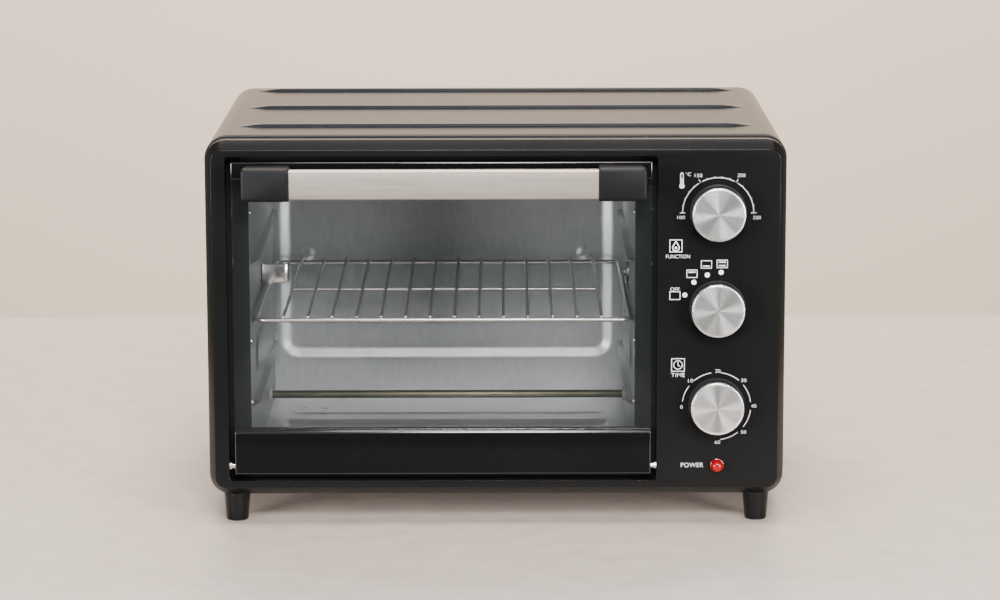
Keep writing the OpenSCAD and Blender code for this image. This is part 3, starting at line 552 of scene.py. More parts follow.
def line(points, width, closed=False):
    """A printed line through points on the panel."""
    path = [Vector(p) for p in points]
    count = len(path)
    sides = []
    for i, p in enumerate(path):
        before = path[i - 1] if closed or i > 0 else p - (path[1] - p)
        after = path[(i + 1) % count] if closed or i < count - 1 else p + (p - path[i - 1])
        one = (p - before).normalized()
        two = (after - p).normalized()
        across = Vector((-(one + two).y, (one + two).x)).normalized()
        reach = width / 2 / max(0.4, across.dot(Vector((-one.y, one.x))))
        sides.append((p + across * reach, p - across * reach))
    rows = [[at(a.x, -ink_t, a.y), at(b.x, -ink_t, b.y)] for a, b in sides]
    return loft("line", rows, ring=False, shut=closed)


def box_line(x, z, width, height, stroke):
    """A printed rectangle."""
    w = width / 2
    h = height / 2
    return line([(x - w, z - h), (x + w, z - h), (x + w, z + h), (x - w, z + h)], stroke, True)


def dot(x, z, r):
    """A printed dot."""
    ring = [at(px, -ink_t, pz) for px, pz in arc(x, z, r, 0, 360, 24)[:-1]]
    return new_piece("dot", ring, [tuple(range(len(ring)))])


def node(kind, mode=None, **links_in):
    """A node whose named inputs are set, or linked where the value is another node's output."""
    made = tree_nodes.new(kind)
    if mode:
        made.mode = mode
    for key, value in links_in.items():
        socket = made.inputs[key.replace("_", " ")]
        if isinstance(value, bpy.types.NodeSocket):
            tree_links.new(value, socket)
        else:
            socket.default_value = value
    return made


def sum_of(kind, first, second):
    """first and second put through one arithmetic operation."""
    made = tree_nodes.new("ShaderNodeMath")
    made.operation = kind
    for socket, value in zip(made.inputs, (first, second)):
        if isinstance(value, bpy.types.NodeSocket):
            tree_links.new(value, socket)
        else:
            socket.default_value = value
    return made.outputs[0]


ink = finish("white_ink", (0.80, 0.80, 0.81), 0.45, grain=900, shade=0.04, bump=0.02)
tick_tree, ticks_in, ticks_end = new_tree("ticks on an arc", ink, Radius=0.03, Start=0.0, End=3.1,
                                          Ticks=16, Length=0.001, Width=0.0004)
tree_nodes = tick_tree.nodes
tree_links = tick_tree.links
marks = node("GeometryNodeMeshLine", "OFFSET", Count=ticks_in.outputs["Ticks"])
index = node("GeometryNodeInputIndex")
angle = node("ShaderNodeMapRange", Value=index.outputs[0],
             From_Max=sum_of("SUBTRACT", ticks_in.outputs["Ticks"], 1),
             To_Min=ticks_in.outputs["Start"], To_Max=ticks_in.outputs["End"])
turn = node("ShaderNodeCombineXYZ", Z=angle.outputs["Result"])
tick = node("GeometryNodeMeshGrid", Vertices_X=2, Vertices_Y=2,
            Size_X=ticks_in.outputs["Length"], Size_Y=ticks_in.outputs["Width"])
outward = node("ShaderNodeCombineXYZ", X=ticks_in.outputs["Radius"])
move = node("GeometryNodeTransform", Geometry=tick.outputs["Mesh"],
            Translation=outward.outputs[0])
place_all = node("GeometryNodeSetPosition", Geometry=marks.outputs["Mesh"], Position=(0, 0, 0))
copies = node("GeometryNodeInstanceOnPoints", Points=place_all.outputs["Geometry"],
              Instance=move.outputs["Geometry"], Rotation=turn.outputs[0])
tree_links.new(copies.outputs["Instances"], ticks_end.inputs[0])


def ticks(x, z, r, start, end, count, length, width):
    """Printed ticks that stand outwards along an arc, in degrees."""
    row = grow("ticks", tick_tree, Radius=(r + length / 2) * MM, Start=math.radians(start),
               End=math.radians(end), Ticks=count, Length=length * MM, Width=width * MM)
    for v in row.data.vertices:
        v.co = at(x + v.co.x / MM, -ink_t, z + v.co.y / MM)
    return row


knob_x = knob_spots[0][0]
heat_z = knob_spots[0][1] - 0.6
time_z = knob_spots[2][1] - 0.9
scale_r = 26.9
print_parts = [
    line(arc(knob_x, heat_z, scale_r, 180, 123, 16), 0.38),
    line(arc(knob_x, heat_z, scale_r, 117, 63, 16), 0.38),
    line(arc(knob_x, heat_z, scale_r, 57, 0, 16), 0.38),
    ticks(knob_x, heat_z, scale_r - 0.2, 180, 0, 16, 1.3, 0.35),
    ticks(knob_x, heat_z, scale_r - 0.2, 120, 60, 2, 2.8, 0.4),
    ticks(knob_x, heat_z, scale_r - 2, 180, 0, 2, 4, 0.4),
    label("100", 140.0, 239.6, 5.6, 2.5),
    label("150", 152.9, 271.6, 5.6, 2.6),
    label("200", 185.3, 271.6, 5.8, 2.6),
    label("250", 197.3, 239.4, 5.8, 2.5),
    # Thermometer
    line([(139.5, 265.0), (139.5, 272.6), (140.1, 273.6), (140.9, 273.6), (141.5, 272.6),
          (141.5, 265.0)], 0.42),
    line(arc(140.5, 263.6, 1.7, 125, 415, 14), 0.42),
    dot(140.5, 263.6, 1.05),
    line([(140.5, 263.6), (140.5, 269.4)], 0.7),
    label("°C", 145.2, 272.6, 4.2, 2.8),
    # Drop in a square
    box_line(136.3, 217.8, 9.2, 9.2, 0.4),
    line(arc(136.3, 216.4, 2.5, 150, 390, 14) + [(136.3, 221.2)], 0.6, True),
    dot(136.3, 216.3, 0.9),
    label("FUNCTION", 137.9, 209.7, 18, 2.7),
    label("OFF", 135.8, 184.5, 7, 2.7),
    box_line(135.8, 179.6, 7.8, 6, 0.42),
    dot(143.3, 180.0, 1.9), dot(150.1, 189.8, 1.9), dot(160.2, 195.4, 1.9), dot(170.7, 197.4, 1.9),
    # Heat from above, from below and from both
    box_line(148.6, 196.4, 7.8, 5.8, 0.4), line([(146, 197.6), (151.2, 197.6)], 0.8),
    box_line(159.5, 203.5, 7.8, 5.8, 0.4), line([(156.9, 202.2), (162.1, 202.2)], 0.8),
    box_line(171.5, 203.9, 7.8, 5.8, 0.4), line([(168.9, 205.2), (174.1, 205.2)], 0.8),
    line([(168.9, 202.6), (174.1, 202.6)], 0.8),
    # Clock in a square
    box_line(138.5, 125.9, 9.8, 9.8, 0.4),
    line(arc(138.5, 125.9, 3.3, 0, 360, 24)[:-1], 0.38, True),
    line([(138.5, 128.2), (138.5, 125.7), (140.2, 124.7)], 0.4),
    label("TIME", 138.6, 118.1, 10.4, 2.9),
    label("POWER", 149.8, 47.8, 17, 3.4),
]
print_parts += [line(arc(knob_x, time_z, scale_r - 0.7, start, end, 12), 0.38)
                for start, end in ((172, 143.0), (130, 99.0), (83, 50), (39, 7), (-7, -38), (-51, -83))]
for minutes, x, z in [(0, 141.4, 93.2), (10, 148.3, 113.6), (20, 168.9, 121.2), (30, 188.7, 113.8),
                      (40, 196.5, 93.9), (50, 188.9, 73.6), (60, 169.1, 65.6)]:
    print_parts.append(label(str(minutes), x, z, 1.9 if minutes == 0 else 3.9, 2.6))
printing = join("panel_printing", print_parts)
face_towards(printing, (0, -1, 0))
for p in printing.data.polygons:
    if p.normal.y > 0:
        p.flip()
thicken(printing, ink_t - 0.01)
fit(printing, ink, "oven", "front_moulding")


# ---- Inner plate, base and back ----
# The steel plate behind the front frame is enamelled black. The base pan is bare galvanised
# sheet that slides in over the housing's lips, and the back panel is a slotted black tray.
# All are held by zinc-plated screws.


def paint(material, *nodes):
    """Gives CAD nodes that stay in view their finish."""
    for name in nodes:
        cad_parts[name].data.materials.clear()
        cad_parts[name].data.materials.append(material)


plate_enamel = finish("plate_enamel", (0.006, 0.006, 0.006), 0.38, grain=500, shade=0.2, bump=0.05,
                      specular=0.1)
galvanised = finish("galvanised_sheet", (0.50, 0.52, 0.53), 0.38, 1.0, grain=140, shade=0.22,
                    spread=0.12, bump=0.02, blotch=60)
paint(plate_enamel, "front_plate")
paint(galvanised, "base_pan", "heat_partition")
paint(enamel, "back_panel")


def lathe(name, profile, centre, axis="y", steps=64, closed=False):
    """Turns a profile of (radius, distance along the axis) about an axis through centre."""
    rows = []
    for r, along in profile:
        ring = []
        for i in range(steps):
            t = 2 * math.pi * i / steps
            u = r * math.cos(t)
            v = r * math.sin(t)
            offset = {"x": (along, u, v), "y": (u, along, v), "z": (u, v, along)}[axis]
            ring.append(at(centre[0] + offset[0], centre[1] + offset[1], centre[2] + offset[2]))
        rows.append(ring)
    piece = loft(name, rows, shut=closed)
    face_out(piece)
    settle(piece, 30)
    return piece


def pan_head_screw(name, head_r, head_t, shank_r, length, axis):
    """A screw at the frame's zero point with a domed, cross-slotted head. Its head's face looks
    along the negative axis."""
    head = [(0, 0), (head_r * 0.5, 0.06 * head_t), (head_r * 0.85, head_t * 0.35),
            (head_r, head_t * 0.8), (head_r, head_t)]
    screw = lathe(name, head + [(shank_r, head_t), (shank_r, length - shank_r), (0, length)],
                  (0, 0, 0), axis, 24)
    arm = head_r * 0.55
    thin = head_r * 0.12
    for a, b in ((arm, thin), (thin, arm)):
        low = {"x": (-0.5, -a, -b), "y": (-a, -0.5, -b), "z": (-a, -b, -0.5)}[axis]
        high = {"x": (head_t * 0.7, a, b), "y": (a, head_t * 0.7, b),
                "z": (a, b, head_t * 0.7)}[axis]
        cut(screw, block("cross", low, high))
    return screw


def block(name, low, high):
    """A box between two corners."""
    x = (low[0], high[0])
    y = (low[1], high[1])
    z = (low[2], high[2])
    points = [at(x[i], y[j], z[k]) for i in (0, 1) for j in (0, 1) for k in (0, 1)]
    faces = [(0, 1, 3, 2), (4, 6, 7, 5), (0, 4, 5, 1), (2, 3, 7, 6), (0, 2, 6, 4), (1, 5, 7, 3)]
    return new_piece(name, points, faces)


zinc = finish("zinc_plate", (0.52, 0.52, 0.50), 0.32, 1.0, grain=900, shade=0.15, spread=0.1)
screw_tree, screws_in, screws_end = new_tree("copies on points", zinc)
screw_tree.interface.new_socket("Shape", in_out="INPUT", socket_type="NodeSocketObject")
shape = screw_tree.nodes.new("GeometryNodeObjectInfo")
each = screw_tree.nodes.new("GeometryNodeInstanceOnPoints")
screw_tree.links.new(screws_in.outputs["Shape"], shape.inputs["Object"])
screw_tree.links.new(screws_in.outputs["Geometry"], each.inputs["Points"])
screw_tree.links.new(shape.outputs["Geometry"], each.inputs["Instance"])
screw_tree.links.new(each.outputs["Instances"], screws_end.inputs[0])


def copies_at(name, shape_piece, spots):
    """Copies of a shape, drawn at the frame's zero point, on each spot. The shape is removed."""
    zero = at(0, 0, 0)
    for v in shape_piece.data.vertices:
        v.co -= zero
    piece = new_piece(name, [at(*spot) for spot in spots], [])
    maker = piece.modifiers.new("maker", "NODES")
    maker.node_group = screw_tree
    for item in screw_tree.interface.items_tree:
        if item.name == "Shape":
            maker[item.identifier] = shape_piece
    settle(piece, 30)
    bpy.data.objects.remove(shape_piece)
    return piece


def turn_over(piece, axis, plane):
    """Mirrors a piece about a plane across axis 0 or 1, in metres."""
    for v in piece.data.vertices:
        v.co[axis] = 2 * plane - v.co[axis]
    piece.data.flip_normals()


head_r = 3.6
head_t = 2
cover_shank_r = 1.8
cover_screw_long = 9.5
screws = edges("back_panel_screws")
back_spots = [(x, screws[4], z) for x in (screws[0] + head_r, screws[3] - head_r)
              for z in (screws[2] + head_r, screws[5] - head_r)]
backwards = pan_head_screw("screw", head_r, head_t, cover_shank_r, cover_screw_long, "y")
turn_over(backwards, 1, face_y)
back_screws = copies_at("back_screws", backwards, back_spots)
fit(back_screws, zinc, "oven", "zinc_screws", "back_panel_screws")

under = edges("base_screws")
under_spots = [(x, y, under[2]) for x in (under[0] + head_r, under[3] - head_r)
               for y in (under[1] + head_r, under[4] - head_r)]
upwards = pan_head_screw("screw", head_r, head_t, cover_shank_r, cover_screw_long, "z")
base_screws = copies_at("base_screws_z", upwards, under_spots)
fit(base_screws, zinc, "oven", "zinc_screws", "base_screws")


# ---- Cooking cavity ----
# Four sheets of aluminised steel, folded and spot-welded behind the front plate. Guides and a
# stiffening oval are pressed into each side wall, a broad panel into the back, and a crumb pan
# into the floor. Use has clouded the metal and left a little grease and heat tint on it.


def pressed(name, corner, across, up, wide, tall, depth, thickness, cell=2.5):
    """A sheet from corner, wide along across and tall along up, pressed along depth(u, v) in
    millimetres. Its thickness goes away from the side the presses rise to."""
    across = Vector(across)
    up = Vector(up)
    out = across.cross(up)
    start = Vector(corner)
    rows = []
    for v in spaced(0, tall, cell):
        rows.append([at(*(start + across * u + up * v + out * depth(u, v)))
                     for u in spaced(0, wide, cell)])
    sheet_piece = loft(name, rows, ring=False)
    face_towards(sheet_piece, out)
    thicken(sheet_piece, thickness)
    return sheet_piece


def hump(v, low, high, slope):
    """1 between low and high, with slopes of a given width inside them."""
    return smooth_step(low, low + slope, v) * (1 - smooth_step(high - slope, high, v))


def oval(u, v, cu, cv, half_u, half_v, slope):
    """1 inside a rounded bar centred at cu, cv, falling to 0 over the slope."""
    r = min(half_u, half_v)
    du = max(0, abs(u - cu) - (half_u - r))
    dv = max(0, abs(v - cv) - (half_v - r))
    return 1 - smooth_step(r - slope, r, math.hypot(du, dv))


cav_x0, cav_y0, cav_z1, cav_x1, cav_y1, _ = edges("cavity_roof")
cav_z0 = edges("cavity_left_wall")[2] + sheet
cav_wide = cav_x1 - cav_x0
cav_deep = cav_y1 - cav_y0
cav_tall = cav_z1 - cav_z0
guide_out = 5
guide_low, guide_mid, guide_high = 46, 112, 158


def side_relief(u, v):
    """Relief of a side wall, u back from the front plate and v up from the floor."""
    ends = smooth_step(18, 26, u) * (1 - smooth_step(cav_deep - 16, cav_deep - 8, u))
    rise = sum(hump(v, z - 0.5, z + 4.3, 1.8) for z in (guide_low, guide_mid, guide_high))
    stiff = oval(u, v, cav_deep / 2, 79, cav_deep * 0.3, 15, 4)
    return guide_out * rise * ends + 1.6 * stiff


def straight_rise(a, b, v):
    """0 up to a and 1 from b on, with a straight rise between."""
    return min(1, max(0, (v - a) / (b - a)))


def wall_screw_pads(u, v):
    """Small round dimples where the back wall's two screws sit."""
    return sum(oval(u, v, cu, 121, 6, 6, 2) for cu in (28, cav_wide - 32))


press_u = cav_wide / 2 - 1.5
press_v = 123
press_half_w = cav_wide / 2 - 7
press_half_h = 91
press_slope = 8
press_depth = 3


def back_relief(u, v):
    """Relief of the back wall: a broad panel pressed away, u to the right and v up."""
    corner = 15
    du = max(0, abs(u - press_u) - (press_half_w - corner))
    dv = max(0, abs(v - press_v) - (press_half_h - corner))
    panel = 1 - straight_rise(corner - press_slope, corner, math.hypot(du, dv))
    return -press_depth * panel + 1.0 * wall_screw_pads(u, v)


def floor_relief(u, v):
    """Relief of the floor: the crumb pan, u to the right and v back."""
    r = 8
    half_w = cav_wide / 2 - 15
    half_h = 70.5
    du = max(0, abs(u - cav_wide / 2) - (half_w - r))
    dv = max(0, abs(v - 110.5) - (half_h - r))
    pan = 1 - smooth_step(r - 4, r, math.hypot(du, dv))
    ridge = hump(v, 200, 210, 4) * hump(u, 18, cav_wide - 18, 6)
    return -3 * pan + 1.1 * ridge


left_wall = pressed("cavity_left", (cav_x0, cav_y0, cav_z0), (0, 1, 0), (0, 0, 1), cav_deep,
                    cav_tall, side_relief, sheet, 2.0)
right_wall = pressed("cavity_right", (cav_x1, cav_y1, cav_z0), (0, -1, 0), (0, 0, 1), cav_deep,
                     cav_tall, lambda u, v: side_relief(cav_deep - u, v), sheet, 2.0)
back_wall = pressed("cavity_back", (cav_x0, cav_y1, cav_z0), (1, 0, 0), (0, 0, 1), cav_wide,
                    cav_tall, back_relief, sheet, 2.0)
floor = pressed("cavity_floor_pan", (cav_x0, cav_y0, cav_z0), (1, 0, 0), (0, 1, 0), cav_wide,
                cav_deep, floor_relief, sheet, 2.0)
heater_names = ["heater_lower_front", "heater_lower_rear", "heater_upper_front",
                "heater_upper_rear"]
heater_boxes = [edges(name) for name in heater_names]
heater_rows = [(middle(b, 1), middle(b, 2)) for b in heater_boxes]


def rod_x(name, x0, x1, y, z, r, steps=32):
    """A plain bar along x, to cut a hole with."""
    bar = rod_y(name, 0, 0, r, x0, x1, steps)
    for v in bar.data.vertices:
        across = v.co.x
        v.co.x = v.co.y - face_y
        v.co.y = face_y + y * MM - across
        v.co.z += z * MM
    face_out(bar)
    return bar


for side_wall in (left_wall, right_wall):
    x = cav_x0 if side_wall == left_wall else cav_x1
    for y, z in heater_rows:
        cut(side_wall, rod_x("heater_hole", x - 4, x + 4, y, z, 5.45))
spit_plug = edges("spit_hole_plug")
spit_y = middle(spit_plug, 1)
spit_z = middle(spit_plug, 2)
cut(right_wall, rod_x("spit_hole", cav_x1 - 4, cav_x1 + 4, spit_y, spit_z, 6))
cavity_steel = finish("aluminised_steel", (0.40, 0.41, 0.415), 0.38, 0.8, grain=220,
                      stretch=(1, 1, 0.35), shade=0.13, spread=0.1, bump=0.06, blotch=12)
# The side walls take a much darker copy of the same steel: painted shade, as if the cavity's sides
# stood in shadow.
painted_shade_steel = finish("shaded_side_steel", (0.17, 0.178, 0.178), 0.36, 0.8, grain=220,
                    stretch=(1, 1, 0.35), shade=0.13, spread=0.1, bump=0.06, blotch=12)
# The floor takes a lighter copy of the same steel: painted light, as if the floor caught the light from
# above.
floor_steel = finish("floor_steel", (0.47, 0.47, 0.49), 0.30, 0.85, grain=220,
                     stretch=(0.3, 1, 1), shade=0.12, spread=0.1, bump=0.05, blotch=14)
fit(left_wall, painted_shade_steel, "oven", "cavity_steel", "cavity_left_wall")
fit(right_wall, painted_shade_steel, "oven", "cavity_steel", "cavity_right_wall")
fit(back_wall, cavity_steel, "oven", "cavity_steel", "cavity_back_wall")
fit(floor, floor_steel, "oven", "cavity_steel", "cavity_floor")
paint(cavity_steel, "cavity_roof")

side_zs = [cav_z0 + z for z in (52, 100, 200)]
bright_steel = finish("bright_steel", (0.66, 0.65, 0.63), 0.2, 1.0, grain=700, shade=0.1,
                      spread=0.07, bump=0.03)
wall_screws = copies_at("back_wall_screws", pan_head_screw("screw", head_r, head_t, 1.7, 8, "y"),
                        [(x, cav_y1 + 3, cav_z0 + 121) for x in (cav_x0 + 28, cav_x1 - 32)])
small_head_t = 1.4
side_screws = [copies_at(name, pan_head_screw("screw", 2.6, small_head_t, 1.2, 4, "x"),
                         [(x, cav_y0 + 8, z) for z in side_zs])
               for name, x in (("left_wall_screws", cav_x0 + small_head_t),
                               ("right_wall_screws", cav_x1 - small_head_t))]
left_screws, right_screws = side_screws
turn_over(left_screws, 0, (cav_x0 + small_head_t) * MM)
cavity_screws = join("cavity_wall_screws", [wall_screws, left_screws, right_screws])
settle(cavity_screws, 30)
fit(cavity_screws, bright_steel, "oven", "bright_steel", "cavity_screws")


# ---- Heaters ----
# Four metal-sheathed rods, two near the floor and two near the roof, each swaged down to a
# threaded pin at both ends. Their sheaths have turned olive and straw with heat. Dark grey
# ceramic bushes hold them in the side walls.

sheath = finish("heat_tinted_sheath", (0.11, 0.105, 0.07), 0.36, 0.8, grain=300,
                stretch=(0.25, 1, 1), shade=0.3, spread=0.12, bump=0.08, blotch=22)
for name, box, (y, z) in zip(heater_names, heater_boxes, heater_rows):
    half = (box[3] - box[0]) / 2
    r = (box[5] - box[2]) / 2
    end = [(0, half), (0.9, half), (1.2, half - 0.4), (1.2, half - 7.6), (2.2, half - 8),
           (r - 0.3, half - 8.4), (r, half - 9.4), (r, half - 14), (r - 0.25, half - 14.6),
           (r - 0.25, half - 15.4), (r, half - 16)]
    profile = [(a, -b) for a, b in end] + list(reversed(end))
    heater = lathe(name + "_rod", profile, (middle(box, 0), y, z), "x", 32)
    fit(heater, sheath, "oven", "heater_sheath", name)
ceramic = finish("glazed_ceramic", (0.70, 0.68, 0.62), 0.3, grain=500, shade=0.05, coat=0.3)
# The bushes are coloured a dark grey, far darker than the glazed ceramic of the controls.
steatite = finish("heat_stained_steatite", (0.20, 0.19, 0.165), 0.55, grain=500, shade=0.15)
paint(steatite, "heater_insulators")


# ---- Spit fittings ----
# A bent clip of bright steel on the left wall carries the end of a roasting spit, and a
# turned plug fills the drive hole in the right wall.

clip_x0, clip_y0, clip_z0, clip_x1, clip_y1, clip_z1 = edges("spit_bracket")
clip_t = 1.2
clip_path = [(clip_x0, clip_y1), (clip_x0, clip_y0 + 3), (clip_x0 + 0.9, clip_y0 + 0.9),
             (clip_x0 + 3, clip_y0), (clip_x1 - 3, clip_y0), (clip_x1 - 0.9, clip_y0 + 0.9),
             (clip_x1, clip_y0 + 3), (clip_x1, clip_y1 - 2)]
clip = loft("spit_clip", [[at(x, y, clip_z0 + 1.5), at(x, y, clip_z1 - 1.5)]
                          for x, y in clip_path], ring=False)
face_towards(clip, (0, -1, 0))
thicken(clip, clip_t)
cut(clip, rod_x("spit_notch", clip_x0 + 10, clip_x1 + 5, spit_y + 1, clip_z1, 5))
soften(clip, 0.3)
fit(clip, bright_steel, "oven", "bright_steel", "spit_bracket")
plug_x0 = spit_plug[0]
plug = lathe("spit_plug", [(0, 0), (2.4, 0.1), (3, 0.8), (3, 2.3), (7.4, 2.6), (8, 3.1), (8, 4.8),
                           (5.9, 5), (5.9, 7.6), (0, 7.6)], (plug_x0, spit_y, spit_z), "x", 48)
fit(plug, bright_steel, "oven", "bright_steel", "spit_hole_plug")


# ---- Feet ----
# Four hollow feet of black moulded plastic, narrower at the bottom, each held up by one
# screw through the base.

foot_plastic = finish("foot_plastic", (0.002, 0.002, 0.002), 0.24, grain=900, shade=0.15,
                      bump=0.06, specular=0.25)
for name in ("foot_front_left", "foot_front_right", "foot_rear_left", "foot_rear_right"):
    x0, y0, z0, x1, y1, z1 = edges(name)
    r = (x1 - x0) / 2
    profile = [(2.3, 5.2), (5, 5), (5.2, 0.6), (5.8, 0), (r * 0.77, 0), (r * 0.82, 0.5),
               (r * 0.84, 1.8), (r * 0.985, z1 - 2.4), (r, z1 - 1.9), (r, z1 - 0.6),
               (r - 0.6, z1), (2.3, z1)]
    foot = lathe(name + "_moulding", profile, ((x0 + x1) / 2, (y0 + y1) / 2, 0), "z", 48, True)
    fit(foot, foot_plastic, "oven", "foot_plastic", name)
paint(zinc, "foot_screws", "control_screws")


# ---- Door ----
# A pane of clear tempered glass held between a hollow bottom rail and a slim top rail, both
# enamelled gloss black. It hinges on two bright pins in the front frame, and small coil
# springs on the pins help to close it.

clear_glass = finish("tempered_glass", (0.02, 0.026, 0.026), 0.03, grain=30, shade=0.03,
                     spread=0.01, bump=0.0)
pane_shader = clear_glass.node_tree.nodes["Principled BSDF"]
pane_shader.inputs["Alpha"].default_value = 0.1
pane_shader.inputs["IOR"].default_value = 1.5
glass_x0, glass_y0, glass_z0, glass_x1, glass_y1, glass_z1 = edges("door_glass")
pane = block("door_pane", (glass_x0, glass_y0, glass_z0), (glass_x1, glass_y1, glass_z1))
soften(pane, 0.5, 2)
bar_box = edges("handle_bar")
left_cap = edges("handle_cap_left")
right_cap = edges("handle_cap_right")
screw_box = edges("handle_screws")
screw_z = middle(screw_box, 2)
screw_xs = [middle(cap, 0) for cap in (left_cap, right_cap)]
for x in screw_xs:
    cut(pane, rod_y("glass_hole", x, screw_z, 2, glass_y0 - 1, glass_y1 + 1, 32))
fit(pane, clear_glass, "door", "door_glass", "door_glass")

gloss_black = finish("gloss_black_rail", (0.003, 0.003, 0.0035), 0.14, grain=300, shade=0.2,
                     spread=0.04, bump=0.02, specular=0.06)


def prism_x(name, profile, x0, x1):
    """A closed (y, z) outline drawn out along x."""
    return close_ends(loft(name, [[at(x, y, z) for y, z in profile] for x in (x0, x1)]))


rail_top = edges("door_bottom_rail")[5]
seat = 14
bottom_rail = prism_x("bottom_rail", [
    (door_y0, door_z0), (door_y1, door_z0), (door_y1, rail_top), (glass_y1, rail_top),
    (glass_y1, rail_top - seat), (glass_y0, rail_top - seat), (glass_y0, rail_top),
    (door_y0 + 1.2, rail_top), (door_y0, rail_top - 1.6)], door_x0, door_x1)
soften(bottom_rail, 0.9, 4, arris=True)
pin = edges("hinge_pin_left")
pin_y = middle(pin, 1)
pin_z = middle(pin, 2)
pin_right = edges("hinge_pin_right")
cut(bottom_rail, rod_x("left_pin_hole", door_x0 - 1, pin[3] + 2, pin_y, pin_z, 2.4))
cut(bottom_rail, rod_x("right_pin_hole", pin_right[0] - 2, door_x1 + 1, pin_y, pin_z, 2.4))
fit(bottom_rail, gloss_black, "door", "door_rail_black", "door_bottom_rail", arris=black_arris)

top_x0, top_y0, top_z0, top_x1, top_y1, top_z1 = edges("door_top_rail")
top_rail = prism_x("top_rail", [
    (top_y0, top_z0), (glass_y0, top_z0), (glass_y0, top_z1 - 2), (glass_y1, top_z1 - 2),
    (glass_y1, top_z0), (top_y1, top_z0), (top_y1, top_z1), (top_y0, top_z1)], top_x0, top_x1)
soften(top_rail, 0.8, 4, arris=True)
for x in screw_xs:
    cut(top_rail, rod_y("rail_hole", x, screw_z, 2, top_y0 - 1, top_y1 + 1, 32))
fit(top_rail, gloss_black, "door", "door_rail_black", "door_top_rail", arris=black_arris)

for name in ("hinge_pin_left", "hinge_pin_right"):
    box = edges(name)
    r = (box[5] - box[2]) / 2
    long = box[3] - box[0]
    pin_r = r - 1.2
    profile = [(0, 0), (pin_r - 0.4, 0), (pin_r, 0.4), (pin_r, 7), (r - 0.2, 7), (r, 7.2),
               (r, 8.6), (r - 0.2, 8.8), (pin_r, 8.8), (pin_r, long - 0.4), (pin_r - 0.4, long),
               (0, long)]
    if name == "hinge_pin_right":
        profile = [(a, long - b) for a, b in profile]
    rod = lathe(name + "_rod", profile, (box[0], pin_y, pin_z), "x", 32)
    fit(rod, bright_steel, "oven", "bright_steel", name)
paint(bright_steel, "hinge_springs")


# ---- Handle ----
# A strip of brushed stainless steel, folded back along its long edges, is held off the glass
# by two matt black plastic ends. A screw from inside the door holds each end.

cap_plastic = finish("handle_end_plastic", (0.0025, 0.0022, 0.003), 0.45, grain=1500, shade=0.18,
                     spread=0.07, bump=0.12, specular=0.15)
bar_x0, bar_y0, bar_z0, bar_x1, bar_y1, bar_z1 = bar_box
bar_t = 1.5
crown = 0.25
bar_front = [(bar_y0 + crown * (2 * i / 8 - 1) ** 4, bar_z0 + 1 + (bar_z1 - bar_z0 - 2) * i / 8)
             for i in range(9)]
bar_path = [(bar_y1, bar_z0), (bar_y0 + crown + 1.2, bar_z0)] + bar_front
bar_path += [(bar_y0 + crown + 1.2, bar_z1), (bar_y1, bar_z1)]
grip = loft("handle_grip", [[at(x, y, z) for y, z in bar_path]
                            for x in spaced(bar_x0, bar_x1, 20)], ring=False)
face_towards(grip, (0, -1, 0))
thicken(grip, bar_t)
brushed = finish("brushed_stainless", (0.44, 0.385, 0.34), 0.42, 1.0, grain=900,
                 stretch=(0.02, 1, 1), shade=0.1, spread=0.08, bump=0.06, blotch=6)
fit(grip, brushed, "door", "handle_steel", "handle_bar")

for name, box, open_right in (("handle_cap_left", left_cap, True),
                              ("handle_cap_right", right_cap, False)):
    x0, y0, z0, x1, y1, z1 = box
    loops = []
    for y, side, rise in ((0, 1.7, 1.7), (-4, 1.2, 1.2), (y0 + 5, 0.1, 0.1), (y0 + 1.3, 0.3, 0.2),
                          (y0 + 0.4, 0.9, 0.8), (y0, 2, 1.9)):
        loops.append(round_loop(x0 + side, z0 + rise, x1 - side, z1 - rise, 2.2, y, 5))
    end = close_ends(loft(name + "_block", loops))
    mouth = (x1 - 4, x1 + 1) if open_right else (x0 - 1, x0 + 4)
    cut(end, block("bar_socket", (mouth[0], y0 + 0.8, z0 + 1.2), (mouth[1], bar_y1 + 0.2, z1 - 1.2)))
    cut(end, rod_y("screw_hole", (x0 + x1) / 2, screw_z, 1.85, -14, 1, 24))
    soften(end, 0.5, 3, 50, True)
    fit(end, cap_plastic, "door", "cap_plastic", name, arris=black_arris)
handle_screw = pan_head_screw("screw", head_r, head_t, 1.75, 22, "y")
turn_over(handle_screw, 1, face_y)
handle_screws = copies_at("handle_end_screws", handle_screw,
                          [(x, screw_box[4], screw_z) for x in screw_xs])
fit(handle_screws, bright_steel, "door", "bright_steel", "handle_screws")


# ---- Wire rack ----
# A loop of chrome-plated steel wire with round corners, crossed by thinner wires that are
# spot-welded on top of it and onto one wire along the middle. It slides on the side guides.

rack_x0, rack_y0, rack_z0, rack_x1, rack_y1, _ = edges("wire_rack")
frame_r = 1.7
wire_r = 1.3
rack_pitch = 18.71
rack_corner = 9
chrome = finish("chromed_wire", (0.48, 0.46, 0.445), 0.3, 0.95, grain=500, shade=0.12,
                spread=0.08, bump=0.05, blotch=40)
rack_tree, rack_in, rack_end = new_tree(
    "welded wire rack", chrome, Width=0.29, Depth=0.26, Corner=0.01, Frame_Radius=0.002,
    Wire_Radius=0.001, Pitch=0.02, Wires=10, Rise=0.003, Overhang=0.001)
tree_nodes = rack_tree.nodes
tree_links = rack_tree.links


def wire_along(curve, radius, sides=12):
    """A round wire along a curve."""
    outline = node("GeometryNodeCurvePrimitiveCircle", Resolution=sides, Radius=radius)
    return node("GeometryNodeCurveToMesh", Curve=curve, Profile_Curve=outline.outputs["Curve"],
                Fill_Caps=True).outputs["Mesh"]


